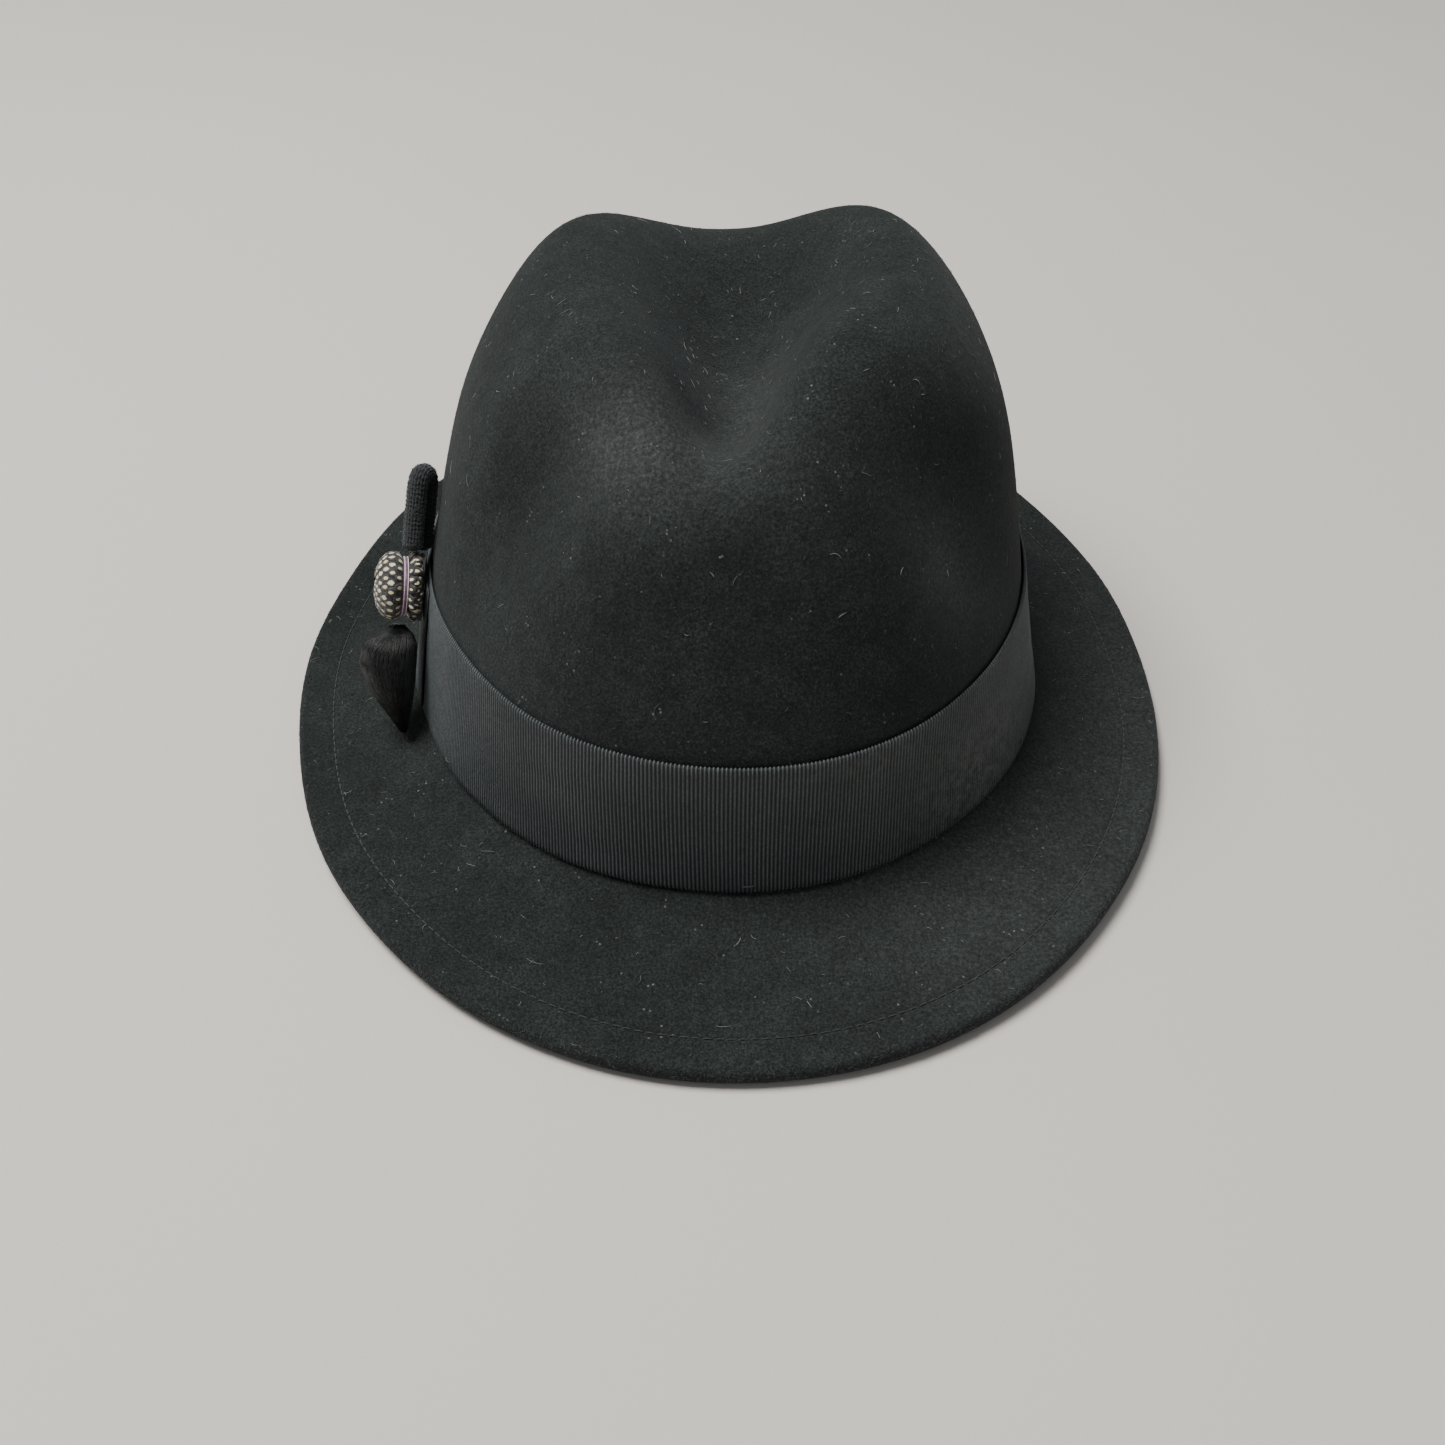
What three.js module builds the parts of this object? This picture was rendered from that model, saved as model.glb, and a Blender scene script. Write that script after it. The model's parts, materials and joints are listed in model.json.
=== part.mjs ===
// A felt fedora: one blocked felt body with a teardrop crease and two front
// pinches, a stingy brim with a sewn under-welt, a ribbed hat ribbon, a leather
// sweatband, a lining, and a cord, feather and brush ornament on the side.
//
// Millimetres, +Z up. The front of the hat faces -Y and the ornament is on -X.
// Every piece is drawn in the hat's own frame, whose origin is the centre of the
// head opening, and the finished hat is then set down on its brim: its origin is
// under the middle of the hat, on the surface that it stands on.

import * as THREE from 'three';

// ---- Driving dimensions -------------------------------------------------

const HEAD_HALF_WIDTH = 85.6; // outside of the felt at the brim break
const HEAD_HALF_LENGTH = 103.6;
const CROWN_HEIGHT = 132; // of the open crown, before it is shaped
const FELT_THICKNESS = 2.2;
const REST_TILT = THREE.MathUtils.degToRad(3.3); // the front sits up a little

// How each side of the crown rises: the power sets how square its shoulder is,
// the lean is the share of the half width lost on the way up.
const SIDE = { power: 4.7, lean: 0.265 };
const FRONT = { power: 3.1, lean: 0.215 };
const BACK = { power: 3.4, lean: 0.125 };
const FRONT_LEAN_START = 0.3; // the front stays upright below this share of the height
const TOP_SHIFT = 4.9; // the top was pressed slightly towards +X
const SADDLE = { share: 0.095, middle: -8, reach: 50 }; // levels the line of the two ridges

const CREASE = {
  depth: 31, front: -80, back: 92, frontWidth: 13, backWidth: 32.5,
  frontOffset: -4, backOffset: 4, backDepthShare: 0.54,
};
const PINCHES = [
  { side: -1, centre: [-46, -54, 80], along: [-0.48, 0.2, -0.85], length: 33, width: 17, depth: 9.5 },
  { side: 1, centre: [42, -57, 75], along: [0.38, 0.1, -0.92], length: 28, width: 18, depth: 11 },
];
const PINCH_FADE = [34, 60]; // heights over which a pinch fades out above the ribbon

const BRIM_WIDTH = { mean: 39.1, backLoss: 1.67, frontGain: 4.55 };
const BRIM_EDGE = { mean: -3.59, backRise: 9.36, sideRise: 0.99, roll: 1.38 };
const BRIM_DISH = 2.3; // how far the middle of the brim dips below its edge line
const WELT_WIDTH = 9.5;
const WELT_THICKNESS = 4.2;
const WELT_THREAD = { half: 0.3, height: 0.5 };

const RIBBON = { bottom: 0.9, top: 38.5, gap: 0.35, thickness: 0.8 };
const RIBBON_HEIGHTS = [RIBBON.bottom, 13, 26, RIBBON.top];
const RIBBON_FACE = RIBBON.gap + RIBBON.thickness;
const OVERLAP = { turn: Math.PI + 0.17, half: 0.085, inset: 0.5, thickness: 0.5 };
const TACK = { count: 6, half: 0.016, bottom: 3, top: 3.6, thickness: 0.4 };
const SWEATBAND = { bottom: 0.3, top: 34, thickness: 1.0, backGap: 0.9 };
const REED_RADIUS = 0.8;
const SWEATBAND_SEAM = { bottom: 3.2, top: 3.8, thickness: 0.4 };
const REED_TAPE = { bottom: 2.0, top: 12, thickness: 0.35 };
const LINING = { bottom: 36, thickness: 0.5, gap: 1.4 };
const FIT = 0.3; // clear gap between neighbouring layers

const AROUND = 48; // facets round the hat
const WALL_HEIGHTS = [...RIBBON_HEIGHTS, 51];
const SHOULDER_CLIMBS = [32, 39, 46].map(THREE.MathUtils.degToRad);
const TOP_CLIMBS = [50, 56, 63, 70, 78].map(THREE.MathUtils.degToRad);

// ---- Materials ----------------------------------------------------------

function finish(color, roughness, metalness = 0) {
  return new THREE.MeshStandardMaterial({ color, roughness, metalness });
}

const felt = finish(0x202423, 0.95);
const grosgrain = finish(0x2e3235, 0.7);
const thread = finish(0x2c2f2f, 0.8);
const leather = finish(0x3a2416, 0.5);
const tape = finish(0x1b1a19, 0.6);
const satin = finish(0x2b2a2c, 0.35);
const cord = finish(0x17181a, 0.9);
const feather = finish(0x6d6656, 0.8);
const mauve = finish(0x6b4a5c, 0.45);
const hair = finish(0x0e0e0f, 0.6);
const steel = finish(0xb4b4b0, 0.3, 1);

// ---- Solid building -----------------------------------------------------

function smooth(from, to, value) {
  const share = THREE.MathUtils.clamp((value - from) / (to - from), 0, 1);
  return share * share * (3 - 2 * share);
}

function signedVolume(points, faces) {
  let sum = 0;
  const cross = new THREE.Vector3();
  for (let i = 0; i < faces.length; i += 3) {
    const [a, b, c] = [points[faces[i]], points[faces[i + 1]], points[faces[i + 2]]];
    sum += a.dot(cross.crossVectors(b, c));
  }
  return sum;
}

function centreOf(ring) {
  const centre = new THREE.Vector3();
  for (const point of ring) centre.add(point);
  return centre.divideScalar(ring.length);
}

// Joins rings of equally many points into one closed body. A closed loft joins
// its last ring to its first; an open one is closed by fans to its end points.
function loft(rings, { closed = false, start = centreOf(rings[0]), end = centreOf(rings.at(-1)) } = {}) {
  const size = rings[0].length;
  const points = rings.flat();
  const faces = [];
  const bands = closed ? rings.length : rings.length - 1;
  for (let band = 0; band < bands; band++) {
    const lower = band * size;
    const upper = ((band + 1) % rings.length) * size;
    for (let i = 0; i < size; i++) {
      const next = (i + 1) % size;
      faces.push(lower + i, lower + next, upper + next);
      faces.push(lower + i, upper + next, upper + i);
    }
  }
  if (!closed) {
    const last = (rings.length - 1) * size;
    const startIndex = points.push(start) - 1;
    const endIndex = points.push(end) - 1;
    for (let i = 0; i < size; i++) {
      const next = (i + 1) % size;
      faces.push(startIndex, next, i);
      faces.push(endIndex, last + i, last + next);
    }
  }
  if (signedVolume(points, faces) < 0) faces.reverse();
  const geometry = new THREE.BufferGeometry().setFromPoints(points);
  geometry.setIndex(faces);
  geometry.computeVertexNormals();
  return geometry;
}

function ringOf(makePoint) {
  return Array.from({ length: AROUND }, (_, i) => makePoint((i / AROUND) * 2 * Math.PI));
}

function part(name, geometry, material) {
  const mesh = new THREE.Mesh(geometry, material);
  mesh.name = name;
  return mesh;
}

// ---- The crown's surface ------------------------------------------------

// turn goes round the hat from +X; climb goes from 0 at the brim break to a
// quarter turn at the middle of the top.
function crownShare(turn) {
  const front = Math.max(-Math.sin(turn), 0) ** 2;
  const back = Math.max(Math.sin(turn), 0) ** 2;
  const side = 1 - front - back;
  return { front, back, side, power: side * SIDE.power + front * FRONT.power + back * BACK.power };
}

function creaseDepth(x, y) {
  const along = (y - CREASE.front) / (CREASE.back - CREASE.front);
  const widening = CREASE.backWidth - CREASE.frontWidth;
  const width = CREASE.frontWidth + widening * smooth(0, 1, along * 1.15);
  const shallowing = 1 - (1 - CREASE.backDepthShare) * smooth(0.5, 0.95, along);
  const drift = CREASE.backOffset - CREASE.frontOffset;
  const middle = CREASE.frontOffset + drift * smooth(0, 0.55, along);
  const across = Math.exp(-(Math.abs((x - middle) / width) ** 2.2));
  return CREASE.depth * smooth(-0.05, 0.25, along) * shallowing * across;
}

function pressPinch(point, pinch) {
  const away = point.clone().sub(new THREE.Vector3(...pinch.centre));
  const along = away.dot(new THREE.Vector3(...pinch.along).normalize());
  const across = away.lengthSq() - along * along;
  const push = Math.exp(-((along / pinch.length) ** 2) - across / pinch.width ** 2);
  const depth = pinch.depth * push * smooth(...PINCH_FADE, point.z);
  point.add(new THREE.Vector3(-0.8 * pinch.side * depth, 0.55 * depth, -0.08 * depth));
}

function crownPoint(turn, climb) {
  const { front, back, side, power } = crownShare(turn);
  const radius = (Math.cos(climb) ** power + Math.sin(climb) ** power) ** (-1 / power);
  const height = radius * Math.sin(climb);
  const frontShare = Math.max(height - FRONT_LEAN_START, 0) / (1 - FRONT_LEAN_START);
  const lean = height * (side * SIDE.lean + back * BACK.lean) + front * FRONT.lean * frontShare ** 1.2;
  const reach = radius * Math.cos(climb) * (1 - lean);
  const point = new THREE.Vector3(
    HEAD_HALF_WIDTH * reach * Math.cos(turn) + TOP_SHIFT * height ** 2,
    HEAD_HALF_LENGTH * reach * Math.sin(turn),
    CROWN_HEIGHT * height,
  );
  const saddle = SADDLE.share * Math.exp(-(((point.y - SADDLE.middle) / SADDLE.reach) ** 2));
  point.z *= 1 - saddle * smooth(0.5, 0.9, height);
  point.z -= creaseDepth(point.x, point.y) * smooth(0.45, 0.8, height);
  for (const pinch of PINCHES) pressPinch(point, pinch);
  return point;
}

function crownNormal(turn, climb) {
  const step = 0.01;
  const high = Math.min(climb + step, Math.PI / 2 - step);
  const low = Math.max(climb - step, 0);
  const rise = crownPoint(turn, high).sub(crownPoint(turn, low));
  const round = crownPoint(turn + step, climb).sub(crownPoint(turn - step, climb));
  return round.cross(rise).normalize();
}

// A point on the layer that lies offset outside the felt's outer face.
function crownLayer(turn, climb, offset) {
  return crownPoint(turn, climb).addScaledVector(crownNormal(turn, climb), offset);
}

function climbAtHeight(turn, z) {
  const { power } = crownShare(turn);
  const height = z / CROWN_HEIGHT;
  return Math.atan2(height, (1 - height ** power) ** (1 / power));
}

// The same layer at an exact height, for the upright part of the crown.
function wallLayer(turn, z, offset) {
  const climb = climbAtHeight(turn, z);
  const normal = crownNormal(turn, climb);
  const level = Math.hypot(normal.x, normal.y);
  const point = crownPoint(turn, climb);
  return point.add(new THREE.Vector3(normal.x, normal.y, 0).multiplyScalar(offset / level ** 2));
}

function crownMiddle(offset) {
  const middle = crownPoint(0, Math.PI / 2);
  middle.z += offset;
  return middle;
}

// ---- The brim's surface -------------------------------------------------

function brimWidth(turn) {
  return BRIM_WIDTH.mean - BRIM_WIDTH.backLoss * Math.sin(turn) - BRIM_WIDTH.frontGain * Math.cos(2 * turn);
}

// reach goes from 0 at the break to 1 at the edge.
function brimPoint(turn, reach, drop = 0) {
  const across = new THREE.Vector2(Math.cos(turn) / HEAD_HALF_WIDTH, Math.sin(turn) / HEAD_HALF_LENGTH);
  across.normalize().multiplyScalar(brimWidth(turn) * reach);
  const edge = BRIM_EDGE.mean + BRIM_EDGE.backRise * Math.sin(turn)
    - BRIM_EDGE.sideRise * Math.cos(2 * turn) - BRIM_EDGE.roll * Math.sin(3 * turn);
  return new THREE.Vector3(
    HEAD_HALF_WIDTH * Math.cos(turn) + across.x,
    HEAD_HALF_LENGTH * Math.sin(turn) + across.y,
    edge * reach - BRIM_DISH * Math.sin(Math.PI * reach) - drop,
  );
}

function reachFromEdge(turn, distance) {
  return 1 - distance / brimWidth(turn);
}

// ---- Felt ---------------------------------------------------------------

function feltBody() {
  const crownRings = (offset) => [
    ...WALL_HEIGHTS.map((z) => ringOf((turn) => wallLayer(turn, z, offset))),
    ...[...SHOULDER_CLIMBS, ...TOP_CLIMBS].map((climb) => ringOf((turn) => crownLayer(turn, climb, offset))),
  ];
  const brimRing = (reach, drop) => ringOf((turn) => brimPoint(turn, reach, drop));
  const edgeRing = (distance, drop) => ringOf((turn) => brimPoint(turn, reachFromEdge(turn, distance), drop));
  const innerBreak = ringOf((turn) => wallLayer(turn, 0, -FELT_THICKNESS).setZ(-1.2));
  const rings = [
    ...crownRings(0).toReversed(),
    brimRing(0, -0.4), brimRing(0.07, 0), brimRing(0.35, 0), brimRing(0.65, 0),
    edgeRing(0.8, 0), edgeRing(0, 1), edgeRing(0, WELT_THICKNESS - 1), edgeRing(0.8, WELT_THICKNESS),
    edgeRing(WELT_WIDTH, WELT_THICKNESS), edgeRing(WELT_WIDTH + 0.4, FELT_THICKNESS),
    brimRing(0.35, FELT_THICKNESS), brimRing(0.05, FELT_THICKNESS), innerBreak,
    ...crownRings(-FELT_THICKNESS),
  ];
  const ends = { start: crownMiddle(0), end: crownMiddle(-FELT_THICKNESS) };
  return part('felt_body', loft(rings, ends), felt);
}

// A thread that runs all round the brim, just above the felt.
function weltStitching() {
  const { half, height } = WELT_THREAD;
  const outline = [[-half, FIT], [half, FIT], [half, FIT + height], [-half, FIT + height]];
  const rings = outline.map(([side, up]) => ringOf(
    (turn) => brimPoint(turn, reachFromEdge(turn, WELT_WIDTH + side), -up),
  ));
  return part('welt_stitching', loft(rings, { closed: true }), thread);
}

// ---- Bands that follow the crown ---------------------------------------

// A closed band between two heights, with its faces at two offsets from the felt.
function crownBand(heights, outer, inner) {
  const rings = (offset) => heights.map((z) => ringOf(
    (turn) => wallLayer(turn, z, offset),
  ));
  return loft([...rings(outer), ...rings(inner).toReversed()], { closed: true });
}

function hatRibbon() {
  return part('hat_ribbon', crownBand(RIBBON_HEIGHTS, RIBBON_FACE, RIBBON.gap), grosgrain);
}

// The section of a small piece on the ribbon, between two heights at one turn.
function onRibbon(turn, bottom, top, thickness) {
  const inner = RIBBON_FACE + FIT;
  const outline = [[bottom, inner], [top, inner], [top, inner + thickness], [bottom, inner + thickness]];
  return outline.map(([z, offset]) => wallLayer(turn, z, offset));
}

// Where the two ends of the ribbon overlap, behind the ornament.
function ribbonOverlap() {
  const { turn, half, inset, thickness } = OVERLAP;
  const sections = [-1, -0.5, 0, 0.5, 1].map((share) => onRibbon(
    turn + share * half, RIBBON.bottom + inset, RIBBON.top - inset, thickness,
  ));
  return part('ribbon_overlap', loft(sections), grosgrain);
}

// Tacking stitches hold the ribbon's lower edge: short bars of thread across it.
function ribbonTacks() {
  return Array.from({ length: TACK.count }, (_, i) => {
    const middle = ((i + 0.5) / TACK.count) * 2 * Math.PI;
    const sections = [-1, 1].map((side) => onRibbon(
      middle + side * TACK.half, TACK.bottom, TACK.top, TACK.thickness,
    ));
    return part(`ribbon_tack_${i + 1}`, loft(sections), thread);
  });
}

const TAPE_OUTER = -FELT_THICKNESS - FIT;
const LEATHER_OUTER = TAPE_OUTER - REED_TAPE.thickness - FIT;
const LEATHER_INNER = LEATHER_OUTER - SWEATBAND.thickness;

function reedTape() {
  const inner = TAPE_OUTER - REED_TAPE.thickness;
  return part('reed_tape', crownBand([REED_TAPE.bottom, REED_TAPE.top], TAPE_OUTER, inner), tape);
}

// The turn, at the back of the hat, that a length along the sweatband covers.
function backAngle(length) {
  return length / HEAD_HALF_WIDTH;
}

// The leather runs round the head and meets itself at the back with a small gap.
function sweatband() {
  const halfGap = backAngle(SWEATBAND.backGap / 2);
  const start = Math.PI / 2 + halfGap;
  const sweep = 2 * Math.PI - 2 * halfGap;
  const heights = [SWEATBAND.bottom, 17, SWEATBAND.top];
  const sections = Array.from({ length: AROUND + 1 }, (_, i) => {
    const turn = start + (i / AROUND) * sweep;
    const side = (offset) => heights.map((z) => wallLayer(turn, z, offset));
    return [...side(LEATHER_OUTER), ...side(LEATHER_INNER).toReversed()];
  });
  return part('sweatband', loft(sections), leather);
}

// A round plastic reed under the leather's lower edge keeps the opening's shape.
function sweatbandReed() {
  const sides = 6;
  const middle = (LEATHER_OUTER + LEATHER_INNER) / 2;
  const rings = Array.from({ length: sides }, (_, k) => {
    const angle = (k / sides) * 2 * Math.PI;
    return ringOf((turn) => {
      const point = wallLayer(turn, 0, middle + REED_RADIUS * Math.cos(angle));
      return point.setZ(SWEATBAND.bottom - FIT - REED_RADIUS + REED_RADIUS * Math.sin(angle));
    });
  });
  return part('sweatband_reed', loft(rings, { closed: true }), tape);
}

function sweatbandStitching() {
  const inner = LEATHER_INNER - FIT;
  const { bottom, top, thickness } = SWEATBAND_SEAM;
  return part('sweatband_stitching', crownBand([bottom, top], inner, inner - thickness), thread);
}

// The standoff clears the leather, which curves round the flat bow.
const BOW = { thickness: 0.8, height: 12, standoff: 1.4, lean: 0.03 };

// The bow that ties the sweatband's ends together, flat against the leather.
function sweatbandBow() {
  const outline = new THREE.Shape();
  outline.moveTo(-1.5, -1.2);
  outline.quadraticCurveTo(-7, -5, -9, -3);
  outline.quadraticCurveTo(-10, 0, -9, 3);
  outline.quadraticCurveTo(-7, 5, -1.5, 1.2);
  outline.lineTo(1.5, 1.2);
  outline.quadraticCurveTo(7, 5, 9, 3);
  outline.quadraticCurveTo(10, 0, 9, -3);
  outline.quadraticCurveTo(7, -5, 1.5, -1.2);
  const settings = { depth: BOW.thickness, bevelEnabled: false, curveSegments: 4 };
  const bow = part('sweatband_bow', new THREE.ExtrudeGeometry(outline, settings), tape);
  const seat = wallLayer(Math.PI / 2, BOW.height, LEATHER_INNER - FIT);
  bow.position.set(seat.x, seat.y - BOW.standoff, seat.z);
  bow.rotation.x = Math.PI / 2 - BOW.lean;
  return bow;
}

// ---- Lining -------------------------------------------------------------

const LINING_OUTER = -FELT_THICKNESS - LINING.gap;
const LINING_INNER = LINING_OUTER - LINING.thickness;
const SEAM_CLIMB = THREE.MathUtils.degToRad(48);
const SEAM_HALF = THREE.MathUtils.degToRad(0.7);

function liningSide() {
  const [, , , top, high] = WALL_HEIGHTS;
  const climbs = [...SHOULDER_CLIMBS, SEAM_CLIMB - SEAM_HALF];
  const rings = (offset) => [
    ...[LINING.bottom, top, high].map((z) => ringOf((turn) => wallLayer(turn, z, offset))),
    ...climbs.map((climb) => ringOf((turn) => crownLayer(turn, climb, offset))),
  ];
  const geometry = loft([...rings(LINING_OUTER), ...rings(LINING_INNER).toReversed()], { closed: true });
  return part('lining_side', geometry, satin);
}

function liningTip() {
  const climbs = [SEAM_CLIMB + SEAM_HALF, ...TOP_CLIMBS];
  const rings = (offset) => climbs.map((climb) => ringOf((turn) => crownLayer(turn, climb, offset)));
  const ends = { start: crownMiddle(LINING_OUTER), end: crownMiddle(LINING_INNER) };
  const geometry = loft([...rings(LINING_OUTER).toReversed(), ...rings(LINING_INNER)], ends);
  return part('lining_tip', geometry, satin);
}

// A fine piping covers the seam between the lining's side and its tip.
function liningPiping() {
  const offset = LINING_INNER - FIT;
  const outline = [[-1, 0], [1, 0], [1, -0.8], [-1, -0.8]];
  const rings = outline.map(([side, depth]) => ringOf(
    (turn) => crownLayer(turn, SEAM_CLIMB + side * SEAM_HALF, offset + depth),
  ));
  return part('lining_piping', loft(rings, { closed: true }), satin);
}

// ---- Side ornament ------------------------------------------------------

// The ornament's own frame: x along the ribbon, y up along the ornament, which
// slants back, z straight out from the ribbon. Its origin is on the ribbon.
const ORNAMENT = { turn: Math.PI + 0.176, height: 34, slant: THREE.MathUtils.degToRad(27) };
const RUFFLE = 2.4; // thickness of the inner ruffle of feathers

function ornamentFrame() {
  const climb = climbAtHeight(ORNAMENT.turn, ORNAMENT.height);
  const origin = crownLayer(ORNAMENT.turn, climb, RIBBON_FACE + FIT + OVERLAP.thickness + FIT);
  const out = crownNormal(ORNAMENT.turn, climb);
  const upright = new THREE.Vector3(0, Math.sin(ORNAMENT.slant), Math.cos(ORNAMENT.slant));
  const up = upright.addScaledVector(out, -upright.dot(out)).normalize();
  const along = new THREE.Vector3().crossVectors(up, out);
  return new THREE.Matrix4().makeBasis(along, up, out).setPosition(origin);
}

function lathe(profile, segments = 20) {
  const geometry = new THREE.LatheGeometry(profile.map(([r, h]) => new THREE.Vector2(r, h)), segments);
  geometry.rotateX(Math.PI / 2);
  return geometry;
}

function roundedPlate(width, height, thickness) {
  const radius = width / 2;
  const straight = height / 2 - radius;
  const outline = new THREE.Shape();
  outline.absarc(0, straight, radius, 0, Math.PI, false);
  outline.absarc(0, -straight, radius, Math.PI, 2 * Math.PI, false);
  return new THREE.ExtrudeGeometry(outline, { depth: thickness, bevelEnabled: false, curveSegments: 8 });
}

const BACKING = { width: 12, height: 18, thickness: 0.8, standoff: 0.6 };
const BACKING_FACE = BACKING.standoff + BACKING.thickness;

function ornamentBacking() {
  const plate = roundedPlate(BACKING.width, BACKING.height, BACKING.thickness);
  plate.translate(0, 0, BACKING.standoff);
  return part('ornament_backing', plate, tape);
}

// The pin through the ribbon and felt that the ornament hangs and turns on.
const PIN = { shank: 0.45, head: 1.4, foot: -0.2, seat: 0.15, top: 0.4 };

function ornamentPin() {
  const { shank, head, foot, seat, top } = PIN;
  const profile = [[0, foot], [shank, foot], [shank, seat], [head, seat], [head, top], [0, top]];
  return part('ornament_pin', lathe(profile, 12), steel);
}

// The cord runs up in one leg and down in the other. The front leg stands further
// out than the rear one, and the loop leans in over the crown towards its top.
const LOOP = { cordRadius: 2.7, legApart: 4.8, legOut: 2.9, top: 32.5, foot: 9.6, lift: 2.4, topInset: 0.8 };

class LoopPath extends THREE.Curve {
  getPoint(share, target = new THREE.Vector3()) {
    const radius = Math.hypot(LOOP.legApart, LOOP.legOut) / 2;
    const crest = LOOP.top - LOOP.cordRadius - radius;
    const straight = crest - LOOP.foot;
    const arc = Math.PI * radius;
    const travelled = share * (2 * straight + arc);
    const angle = THREE.MathUtils.clamp((travelled - straight) / radius, 0, Math.PI);
    const fall = Math.max(travelled - straight - arc, 0);
    const side = Math.cos(angle) / 2;
    const y = Math.min(LOOP.foot + travelled, crest) + radius * Math.sin(angle) - fall;
    const climbed = (y - LOOP.foot) / (LOOP.top - LOOP.foot);
    return target.set(side * LOOP.legApart, y, LOOP.lift + side * LOOP.legOut - LOOP.topInset * climbed ** 2);
  }
}

function cordLoop() {
  const section = new THREE.Shape();
  section.absarc(0, 0, LOOP.cordRadius, 0, 2 * Math.PI, false);
  const geometry = new THREE.ExtrudeGeometry(section, {
    steps: 30, extrudePath: new LoopPath(), curveSegments: 4, bevelEnabled: false,
  });
  return part('cord_loop', geometry, cord);
}

// The feather button is tied round its waist: a ruffle inside, a domed cap outside.
function featherRuffle() {
  const base = BACKING_FACE + FIT;
  const profile = [
    [0, base], [6.5, base], [8.6, base + 0.8], [8.6, base + 1.6], [7, base + RUFFLE], [0, base + RUFFLE],
  ];
  return part('feather_ruffle', lathe(profile), feather);
}

const WAIST = BACKING_FACE + FIT + RUFFLE;

function featherCap() {
  const foot = WAIST + FIT;
  const profile = [
    [0, foot], [6.2, foot], [6.2, foot + 1.8], [8.4, foot + 2.5], [8.9, foot + 4],
    [8.2, foot + 6], [6, foot + 7.6], [3, foot + 8.4], [0, foot + 8.6],
  ];
  return part('feather_cap', lathe(profile), feather);
}

function tieBand() {
  const foot = WAIST + 2 * FIT;
  const profile = [[6.5, foot], [7.6, foot], [7.6, foot + 1.5], [6.5, foot + 1.5], [6.5, foot]];
  return part('tie_band', lathe(profile), mauve);
}

const BRUSH = { root: -10.2, binding: 2.6, tip: -39, lift: 6.4, rootRadius: 2.0 };

function brushBinding() {
  const geometry = new THREE.CylinderGeometry(BRUSH.rootRadius, BRUSH.rootRadius, BRUSH.binding, 12);
  geometry.translate(0, BRUSH.root - BRUSH.binding / 2, BRUSH.lift);
  return part('brush_binding', geometry, thread);
}

// Each row: distance down the brush, half width, inner and outer face.
const BRUSH_ROWS = [
  [0.0, 2.4, 4.0, 8.8], [0.12, 6.5, 1.2, 15.5], [0.3, 8, 0.9, 16.5], [0.5, 7.8, 0.9, 14.2],
  [0.7, 6.6, 1.2, 11], [0.88, 4.4, 1.8, 7], [1, 1.9, 2.4, 4.4],
];

function brush() {
  const sides = 12;
  const start = BRUSH.root - BRUSH.binding - FIT;
  const sections = BRUSH_ROWS.map(([share, half, near, far]) => Array.from({ length: sides }, (_, i) => {
    const angle = (i / sides) * 2 * Math.PI;
    const y = start + (BRUSH.tip - start) * share;
    const middle = (near + far) / 2;
    const depth = (far - near) / 2;
    return new THREE.Vector3(half * Math.cos(angle), y, middle + depth * Math.sin(angle));
  }));
  return part('brush', loft(sections), hair);
}

function ornament() {
  const group = new THREE.Group();
  group.add(ornamentBacking(), ornamentPin(), cordLoop(), featherRuffle(), featherCap(), tieBand());
  group.add(brushBinding(), brush());
  group.applyMatrix4(ornamentFrame());
  return group;
}

// ---- The hat on its brim ------------------------------------------------

const hat = new THREE.Group();
hat.add(feltBody(), weltStitching(), hatRibbon(), ribbonOverlap(), ...ribbonTacks());
hat.add(sweatband(), sweatbandReed(), reedTape(), sweatbandStitching(), sweatbandBow());
hat.add(liningSide(), liningTip(), liningPiping(), ornament());
hat.rotation.x = -REST_TILT;

const standing = new THREE.Group();
standing.add(hat);
standing.updateMatrixWorld(true);
const box = new THREE.Box3().setFromObject(hat, true);
hat.position.set(-(box.min.x + box.max.x) / 2, -(box.min.y + box.max.y) / 2, -box.min.z);

export default standing;
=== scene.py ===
"""A black felt fedora with a ribbed ribbon, a sweatband, a lining and a cord, feather
and brush ornament. Shapes are worked out in millimetres in the hat's own frame, or in
the ornament's, and are placed in metres by the two matrices below."""

import json
import math

import bpy
import numpy as np
from mathutils import Matrix, Vector


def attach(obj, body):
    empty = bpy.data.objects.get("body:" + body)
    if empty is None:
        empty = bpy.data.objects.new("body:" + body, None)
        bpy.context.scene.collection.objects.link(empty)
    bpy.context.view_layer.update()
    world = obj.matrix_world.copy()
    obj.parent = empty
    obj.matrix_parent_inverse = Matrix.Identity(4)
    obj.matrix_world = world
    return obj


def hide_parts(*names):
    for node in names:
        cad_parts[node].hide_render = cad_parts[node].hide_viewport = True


MM = 0.001
TURN = 2 * math.pi

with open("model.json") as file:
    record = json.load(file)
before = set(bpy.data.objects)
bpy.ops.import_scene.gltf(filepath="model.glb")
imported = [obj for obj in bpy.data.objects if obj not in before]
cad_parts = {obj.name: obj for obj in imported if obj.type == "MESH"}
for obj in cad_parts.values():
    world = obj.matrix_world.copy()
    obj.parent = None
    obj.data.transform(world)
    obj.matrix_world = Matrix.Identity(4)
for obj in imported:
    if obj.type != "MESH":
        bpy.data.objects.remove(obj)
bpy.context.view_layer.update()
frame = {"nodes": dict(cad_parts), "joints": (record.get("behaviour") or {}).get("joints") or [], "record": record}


# ---- Frames ---------------------------------------------------------------


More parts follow.
